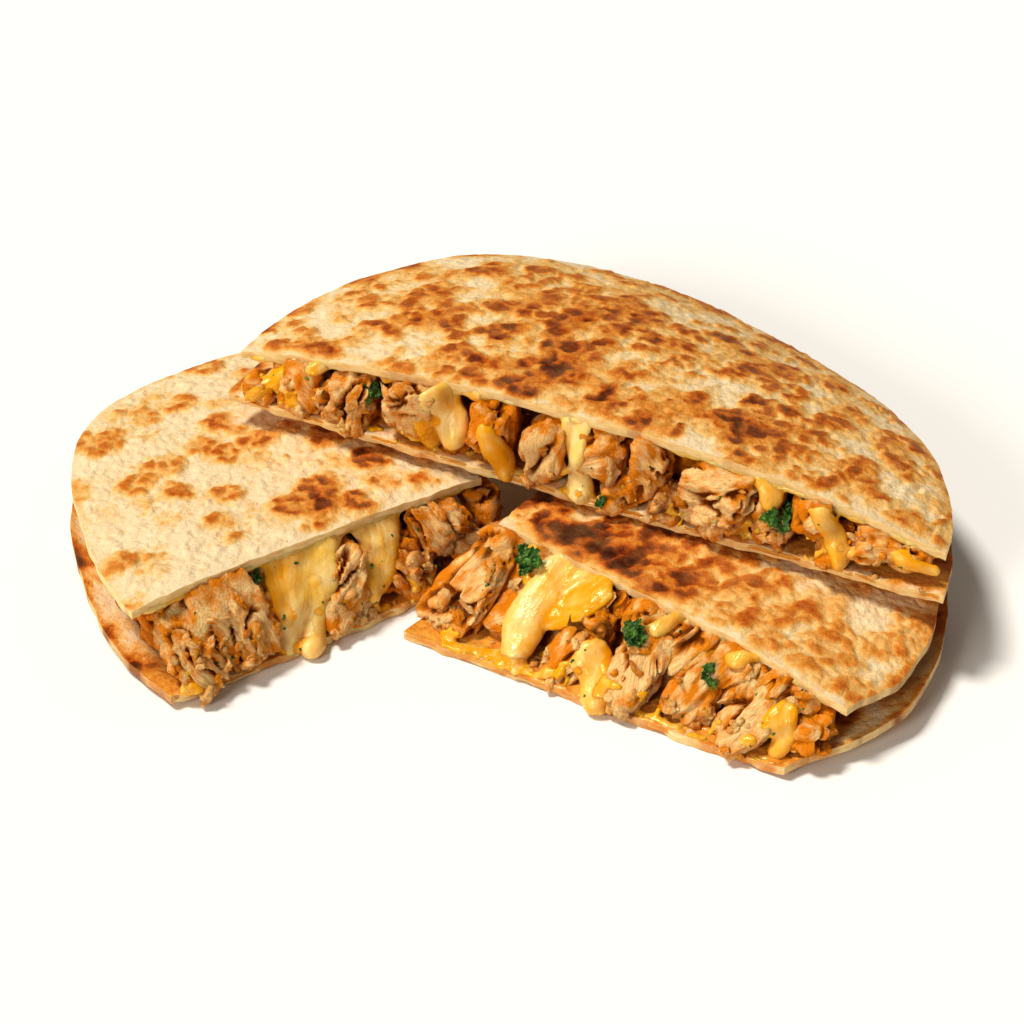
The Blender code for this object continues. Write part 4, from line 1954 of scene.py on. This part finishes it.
@dataclass
class SauceFilm:
    """Sauce on the shown lip of a bottom tortilla."""

    face: CutFace
    noise: Noise
    amount: float = 0.12
    reach: float = 0.16
    over: float = 0.012
    lowest_edge: float = 0.9 * MM
    thickness: float = 0.8 * MM

    def build(self, sauce: bpy.types.Material) -> bpy.types.Object:
        """Model the film, which dips into the tortilla where there is none.

        Args:
            sauce: its material.

        Returns:
            The finished object.
        """
        deselect()
        span = 2 if self.face.low.is_half else 1
        bpy.ops.mesh.primitive_grid_add(x_subdivisions=190 * span, y_subdivisions=44, size=1.0)
        item = bpy.context.active_object
        item.name = f"{self.face.name}_sauce_film"
        grid = read_points(item) * np.array([self.face.top.hand, 1.0, 1.0]) + 0.5
        lowest = self.face.low.start_of_cut(0.01, -0.98)
        across = lowest + grid[:, 0] * (0.98 - lowest)
        away = grid[:, 1] * self.reach - self.over
        drift = np.column_stack([across * 11, away * 11, across * 0])
        patches = self.noise.layered(drift + 5.0, 4) + self.amount
        much = smooth_step(-0.35, 0.35, patches + 3.0 * np.minimum(away, 0.03))
        over = np.minimum(away, 0.0) * smooth_step(0.55, 0.8, patches)
        flat = self.face.low.point(across, np.where(away < 0.0, over, away))
        height = self.face.form.bottom(flat[:, 0], flat[:, 1]) + TORTILLA_THICK
        fall = (np.minimum(away, 0.0) / self.over) ** 2 * 1.7 * MM * (0.3 + 0.7 * much)
        shore = smooth_step(0.0, 0.006, away + 0.001)
        wet = self.noise.layered(drift * 3.0, 3) * 0.6
        height = height + (1.1 * much - 0.7 + wet) * MM * (0.35 + 0.65 * shore) - fall
        write_points(item, np.column_stack([flat, np.maximum(height, self.lowest_edge)]))
        apply_modifier(item, "SOLIDIFY", thickness=self.thickness, offset=-1.0)
        item.data.materials.append(sauce)
        smooth(item, 80.0)
        dress(item)
        return item


# Each herb: place along the cut, rise, and width in millimetres
HERBS = {
    "half": ((-0.62, 0.72, 7.0), (0.58, 0.58, 8.5), (0.075, 0.08, 3.5)),
    "left": ((0.66, 0.80, 6.0), (0.38, 0.82, 7.0)),
    "right": ((0.16, 0.88, 8.0), (0.49, 0.84, 8.0), (0.70, 0.72, 4.0)),
}


@dataclass
class Garnish:
    """Parsley, herb flecks, crumbs and shreds that lie on the filling of one slice."""

    face: CutFace
    noise: Noise
    rng: np.random.Generator
    ground: BVHTree
    cheese: BVHTree

    def spot(self, share: float, rise: float) -> tuple[np.ndarray, np.ndarray] | None:
        """Surface of the filling behind a place on the cut.

        Args:
            share: place along the cut.
            rise: height between the tortillas.

        Returns:
            Its place and direction, or nothing where there is a gap.
        """
        outward = self.face.outward
        origin = self.face.points(share, rise)[0] + outward * 30 * MM
        hit, normal, _, _ = self.ground.ray_cast(Vector(origin), Vector(-outward), 44 * MM)
        if hit is None:
            return None
        return np.array(hit), np.array(normal)

    def fallen(self, share: float, away: float) -> tuple[np.ndarray, np.ndarray] | None:
        """Surface above a place on the bottom tortilla.

        Args:
            share: place along the cut.
            away: place away from it.

        Returns:
            Its place and direction, or nothing where it is too steep.
        """
        flat = self.face.low.point(np.array([share]), np.array([away]))[0]
        roof = float(self.face.form.bottom(*flat)) + 14 * MM
        hit, normal, _, _ = self.ground.ray_cast(Vector((*flat, roof)), Vector((0, 0, -1)), 0.03)
        if hit is None or normal[2] < 0.3:
            return None
        return np.array(hit), np.array(normal)

    def on_cheese(self, place: np.ndarray) -> bool:
        """True where the surface is cheese."""
        return self.cheese.find_nearest(Vector(place), 1.2 * MM)[0] is not None

    def frame(self, normal: np.ndarray) -> np.ndarray:
        """Three axes, turned at random about the last.

        Args:
            normal: the last axis.

        Returns:
            The axes as rows.
        """
        first = np.cross(normal, self.rng.normal(size=3))
        first /= np.linalg.norm(first)
        return np.array([first, np.cross(normal, first), normal])

    def leaf(self, place: np.ndarray, axes: np.ndarray, size: float) -> bpy.types.Object:
        """One crumpled, lobed leaf.

        Args:
            place: its middle.
            axes: its three axes, as rows.
            size: its width.

        Returns:
            The object.
        """
        deselect()
        bpy.ops.mesh.primitive_grid_add(x_subdivisions=26, y_subdivisions=26, size=2.0)
        item = bpy.context.active_object
        grid = read_points(item)[:, :2]
        flat_x = grid[:, 0] * np.sqrt(1 - grid[:, 1] ** 2 / 2)
        flat_y = grid[:, 1] * np.sqrt(1 - grid[:, 0] ** 2 / 2)
        share = np.hypot(flat_x, flat_y)
        angle = np.arctan2(flat_y, flat_x)
        start = self.rng.uniform(0, 6.28)
        lobes = 0.5 + 0.42 * np.abs(np.cos(1.5 * (angle - start))) ** 1.2
        lobes = lobes + 0.10 * np.cos(9 * angle + start) + 0.05 * np.cos(19 * angle)
        reach = share * (1 + (lobes - 1) * share)
        flat = np.column_stack([np.cos(angle) * reach, np.sin(angle) * reach]) * size / 2
        deep = np.column_stack([flat / (0.28 * size), np.full(len(flat), start * 3)])
        curl = self.noise.layered(deep, 2) * 0.20 * size + share ** 2 * 0.12 * size
        points = place + np.column_stack([flat, curl]) @ axes
        points[:, 2] = np.maximum(points[:, 2], 0.6 * MM)
        write_points(item, points)
        apply_modifier(item, "SOLIDIFY", thickness=0.3 * MM, offset=0.0)
        return item

    def gather(
        self, items: list[bpy.types.Object], kind: str, slot: str, look: bpy.types.Material
    ) -> None:
        """Join small pieces in one and dress it.

        Args:
            items: the pieces.
            kind: what they are, for the name.
            slot: chicken or another finish, which picks the angle of the smooth shading.
            look: their material.
        """
        joined = join(items, f"{self.face.name}_{kind}")
        joined.data.materials.clear()
        joined.data.materials.append(look)
        smooth(joined, 75.0 if slot == "chicken" else 70.0)
        dress(joined)

    def herbs(self, herb: bpy.types.Material) -> None:
        """Model the parsley and the flecks.

        Args:
            herb: their material.
        """
        items = []
        lowest = self.face.top.start_of_cut(0.03, -0.9)
        for share, rise, size in HERBS[self.face.name]:
            found = self.spot(share, rise)
            if found is None:
                continue
            place, normal = found
            facing = normal * 0.4 + self.face.outward * 0.6 + np.array([0.0, 0.0, 0.4])
            for _ in range(4):
                tilt = facing + self.rng.normal(0, 0.38, 3)
                axes = self.frame(tilt / np.linalg.norm(tilt))
                shift = self.rng.normal(0, 0.22, 3) * size * MM
                leaf_size = size * self.rng.uniform(0.7, 0.95) * MM
                items.append(self.leaf(place + self.face.outward * MM + shift, axes, leaf_size))
        for _ in range(36 if self.face.top.is_half else 26):
            found = self.spot(self.rng.uniform(lowest, 0.95), self.rng.uniform(0.02, 0.9))
            if found is None:
                continue
            width = self.rng.uniform(0.35, 0.9) ** 1.5 * MM
            items.append(self.bit(*found, width, 2, 0.3, self.rng.uniform(1.0, 2.4)))
        self.gather(items, "parsley", "herb", herb)

    def bit(self, place: np.ndarray, normal: np.ndarray, size: float, fineness: int,
            flat: float = 0.8, long: float = 1.0) -> bpy.types.Object:
        """One small lumpy piece.

        Args:
            place: its middle.
            normal: direction of the surface it lies on.
            size: its width.
            fineness: subdivisions of the ball it is made from.
            flat: height to width.
            long: length to width.

        Returns:
            The object.
        """
        deselect()
        bpy.ops.mesh.primitive_ico_sphere_add(subdivisions=fineness, radius=1.0)
        item = bpy.context.active_object
        rays = read_points(item)
        seed = self.rng.uniform(0, 50, 3)
        lumps = self.noise.layered(rays * 1.6 + seed, 3)
        half = np.array([long, 1.0, flat]) * size / 2
        distance, _ = blocky(rays, half, self.rng)
        body = rays * (distance * (1.0 + 0.6 * lumps))[:, None]
        if long > 1.5:
            strands = self.noise.layered(rays * np.array([1.0, 5.0, 5.0]) + seed, 2)
            body = body * (1.0 + 0.35 * strands)[:, None]
            bend = self.rng.uniform(-0.35, 0.35)
            body[:, 1] += bend * body[:, 0] ** 2 / (size * long / 2)
        points = place + body @ self.frame(normal)
        points[:, 2] = np.maximum(points[:, 2], 0.3 * MM)
        write_points(item, points)
        coat = 0.55 + 0.7 * self.noise.layered(rays * 1.8 + seed + 9.0, 2)
        # Painted shade: the crevice value darkens the hollows between the lumps.
        write(
            item,
            sauce=np.clip(coat + self.rng.uniform(-0.2, 0.3), 0.0, 1.0),
            crack=smooth_step(0.2, 0.8, -lumps) * 0.4,
            char=np.full(len(rays), 0.25 * (self.rng.random() > 0.9)),
            grain=body / np.array([6.0, 1.2, 1.2]) / MM + seed,
        )
        return item

    def crumbs(self, chicken: bpy.types.Material) -> None:
        """Model the small pieces and the shreds.

        Args:
            chicken: their material.
        """
        items = []
        lowest = self.face.top.start_of_cut(0.03, -0.9)
        for _ in range(70 if self.face.top.is_half else 50):
            found = self.spot(self.rng.uniform(lowest, 0.93), self.rng.uniform(0.0, 0.5) ** 1.5)
            if found is None or self.on_cheese(found[0]):
                continue
            size = self.rng.uniform(1.6, 4.2) * MM
            items.append(self.bit(*found, size, 3, self.rng.uniform(0.5, 0.9)))
        for _ in range(90 if self.face.top.is_half else 60):
            found = self.fallen(self.rng.uniform(lowest, 0.95), self.rng.uniform(0.004, 0.07))
            if found is None or self.on_cheese(found[0]):
                continue
            size = self.rng.uniform(1.0, 2.8) * MM
            items.append(self.bit(*found, size, 2, 0.6, self.rng.uniform(1.0, 1.8)))
        for _ in range(34 if self.face.top.is_half else 26):
            found = self.spot(self.rng.uniform(lowest, 0.93), self.rng.uniform(0.1, 0.9))
            if found is None or self.on_cheese(found[0]):
                continue
            width = self.rng.uniform(1.2, 2.1) * MM
            items.append(self.bit(*found, width, 3, 0.8, self.rng.uniform(3.0, 5.5)))
        self.gather(items, "crumbs_and_shreds", "chicken", chicken)


# The whole


@dataclass(frozen=True)
class Studio:
    """Floor, lights and camera."""

    target: tuple[float, float, float] = (3.4 * MM, -13.3 * MM, 20 * MM)
    distance: float = 0.75
    elevation: float = 36.0
    lens: float = 92.3
    floor_size: float = 8.0
    floor_grey: float = 0.94
    sky_tint: tuple[float, float, float] = (1.0, 0.95, 0.87)
    sky_power: float = 0.22
    gamma: float = 0.82

    def floor(self) -> None:
        """Wide pale floor."""
        deselect()
        bpy.ops.mesh.primitive_plane_add(size=self.floor_size, location=(0.0, 0.0, -0.2 * MM))
        floor = bpy.context.active_object
        floor.name = "floor"
        tree = NodeTree("floor_paint")
        tree.plug(tree.shader, "Base Color", (*[self.floor_grey] * 3, 1.0))
        tree.plug(tree.shader, "Roughness", 0.9)
        floor.data.materials.append(tree.material)

    def light(self, name: str, place: tuple, spread: float, power: float, tint: tuple) -> None:
        """One soft distant lamp that looks at the food.

        Args:
            name: the lamp's name.
            place: the side it shines from.
            spread: its width in degrees, which softens the shadows.
            power: its strength.
            tint: its colour.
        """
        lamp = bpy.data.lights.new(name, "SUN")
        lamp.angle = math.radians(spread)
        lamp.energy = power
        lamp.color = tint
        item = bpy.data.objects.new(name, lamp)
        item.location = place
        aim = Vector(self.target) - Vector(place)
        item.rotation_euler = aim.to_track_quat("-Z", "Y").to_euler()
        bpy.context.collection.objects.link(item)

    def camera(self) -> None:
        """Camera in front of the notch, looking down at the food."""
        data = bpy.data.cameras.new("camera")
        data.lens = self.lens
        data.sensor_width = 36.0
        item = bpy.data.objects.new("camera", data)
        slope = math.radians(self.elevation)
        back = Vector((0.0, -math.cos(slope), math.sin(slope)))
        item.location = Vector(self.target) + back * self.distance
        item.rotation_euler = (-back).to_track_quat("-Z", "Y").to_euler()
        bpy.context.collection.objects.link(item)
        bpy.context.scene.camera = item

    def build(self) -> None:
        """Set up the floor, the lights, the sky and the camera."""
        self.floor()
        self.camera()
        self.light("key", (-0.45, 0.10, 0.95), 14.0, 2.75, (1.0, 0.96, 0.89))
        self.light("front", (-0.60, -0.80, 0.50), 16.0, 1.3, self.sky_tint)
        world = bpy.data.worlds.new("sky")
        world.use_nodes = True
        shade = world.node_tree.nodes["Background"]
        shade.inputs["Color"].default_value = (*self.sky_tint, 1.0)
        shade.inputs["Strength"].default_value = self.sky_power
        bpy.context.scene.world = world
        bpy.context.scene.view_settings.view_transform = "Standard"
        bpy.context.scene.view_settings.gamma = self.gamma


@dataclass
class Quesadilla:
    """The three slices."""

    noise: Noise = field(default_factory=lambda: Noise(7))
    first_seed: int = 40
    under_spacing: float = 1.4 * MM

    def tortillas(self) -> None:
        """Build the six tortillas."""
        skin = ToastedFinish().build()
        crumb = CrumbFinish().build()
        forms = {
            "half": (HALF_TOP, HALF_LOW, HALF_FORM),
            "left": (LEFT_TOP, LEFT_LOW, LEFT_FORM),
            "right": (RIGHT_TOP, RIGHT_LOW, RIGHT_FORM),
        }
        for name, (top, low, form) in forms.items():
            upper = Tortilla(name, Side.TOP, top, form, self.noise, TOASTINGS[name])
            upper.build(skin, crumb)
            under = Tortilla(name, Side.BOTTOM, low, form, self.noise, TOASTINGS["under"])
            under.spacing = self.under_spacing
            under.build(skin, crumb)

    def filling(self) -> None:
        """Build what lies between the tortillas."""
        chicken = ChickenFinish().build()
        faces = (
            CutFace("half", HALF_LOW, HALF_TOP, HALF_FORM),
            CutFace("left", LEFT_LOW, LEFT_TOP, LEFT_FORM),
            CutFace("right", RIGHT_LOW, RIGHT_TOP, RIGHT_FORM),
        )
        cheese = CheeseFinish().build()
        sauce = SauceFinish().build()
        herb = HerbFinish().build()
        for seed, face in enumerate(faces, self.first_seed):
            rng = np.random.default_rng(seed)
            heap = Heap(face, self.noise, rng).build(chicken)
            Core(face, self.noise).build(chicken)
            under = bpy.data.objects[f"{face.name}_bottom_tortilla_skin"]
            ground = surface([heap, under])
            melted = MeltedCheese(face, self.noise, rng).build(cheese, ground)
            SauceFilm(face, self.noise, SAUCE_AMOUNTS[face.name]).build(sauce)
            whole = surface([heap, melted, under])
            garnish = Garnish(face, self.noise, rng, whole, surface([melted]))
            garnish.crumbs(chicken)
            garnish.herbs(herb)

    def build(self) -> None:
        """Build every piece."""
        self.tortillas()
        self.filling()


def main() -> None:
    """Load the frame, log its nodes, and build the studio and the food."""
    logging.basicConfig(level=logging.INFO, format="%(message)s")
    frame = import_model()
    LOG.info("frame: %d nodes", len(frame["nodes"]))
    Studio().build()
    Quesadilla().build()


if __name__ == "__main__":
    main()
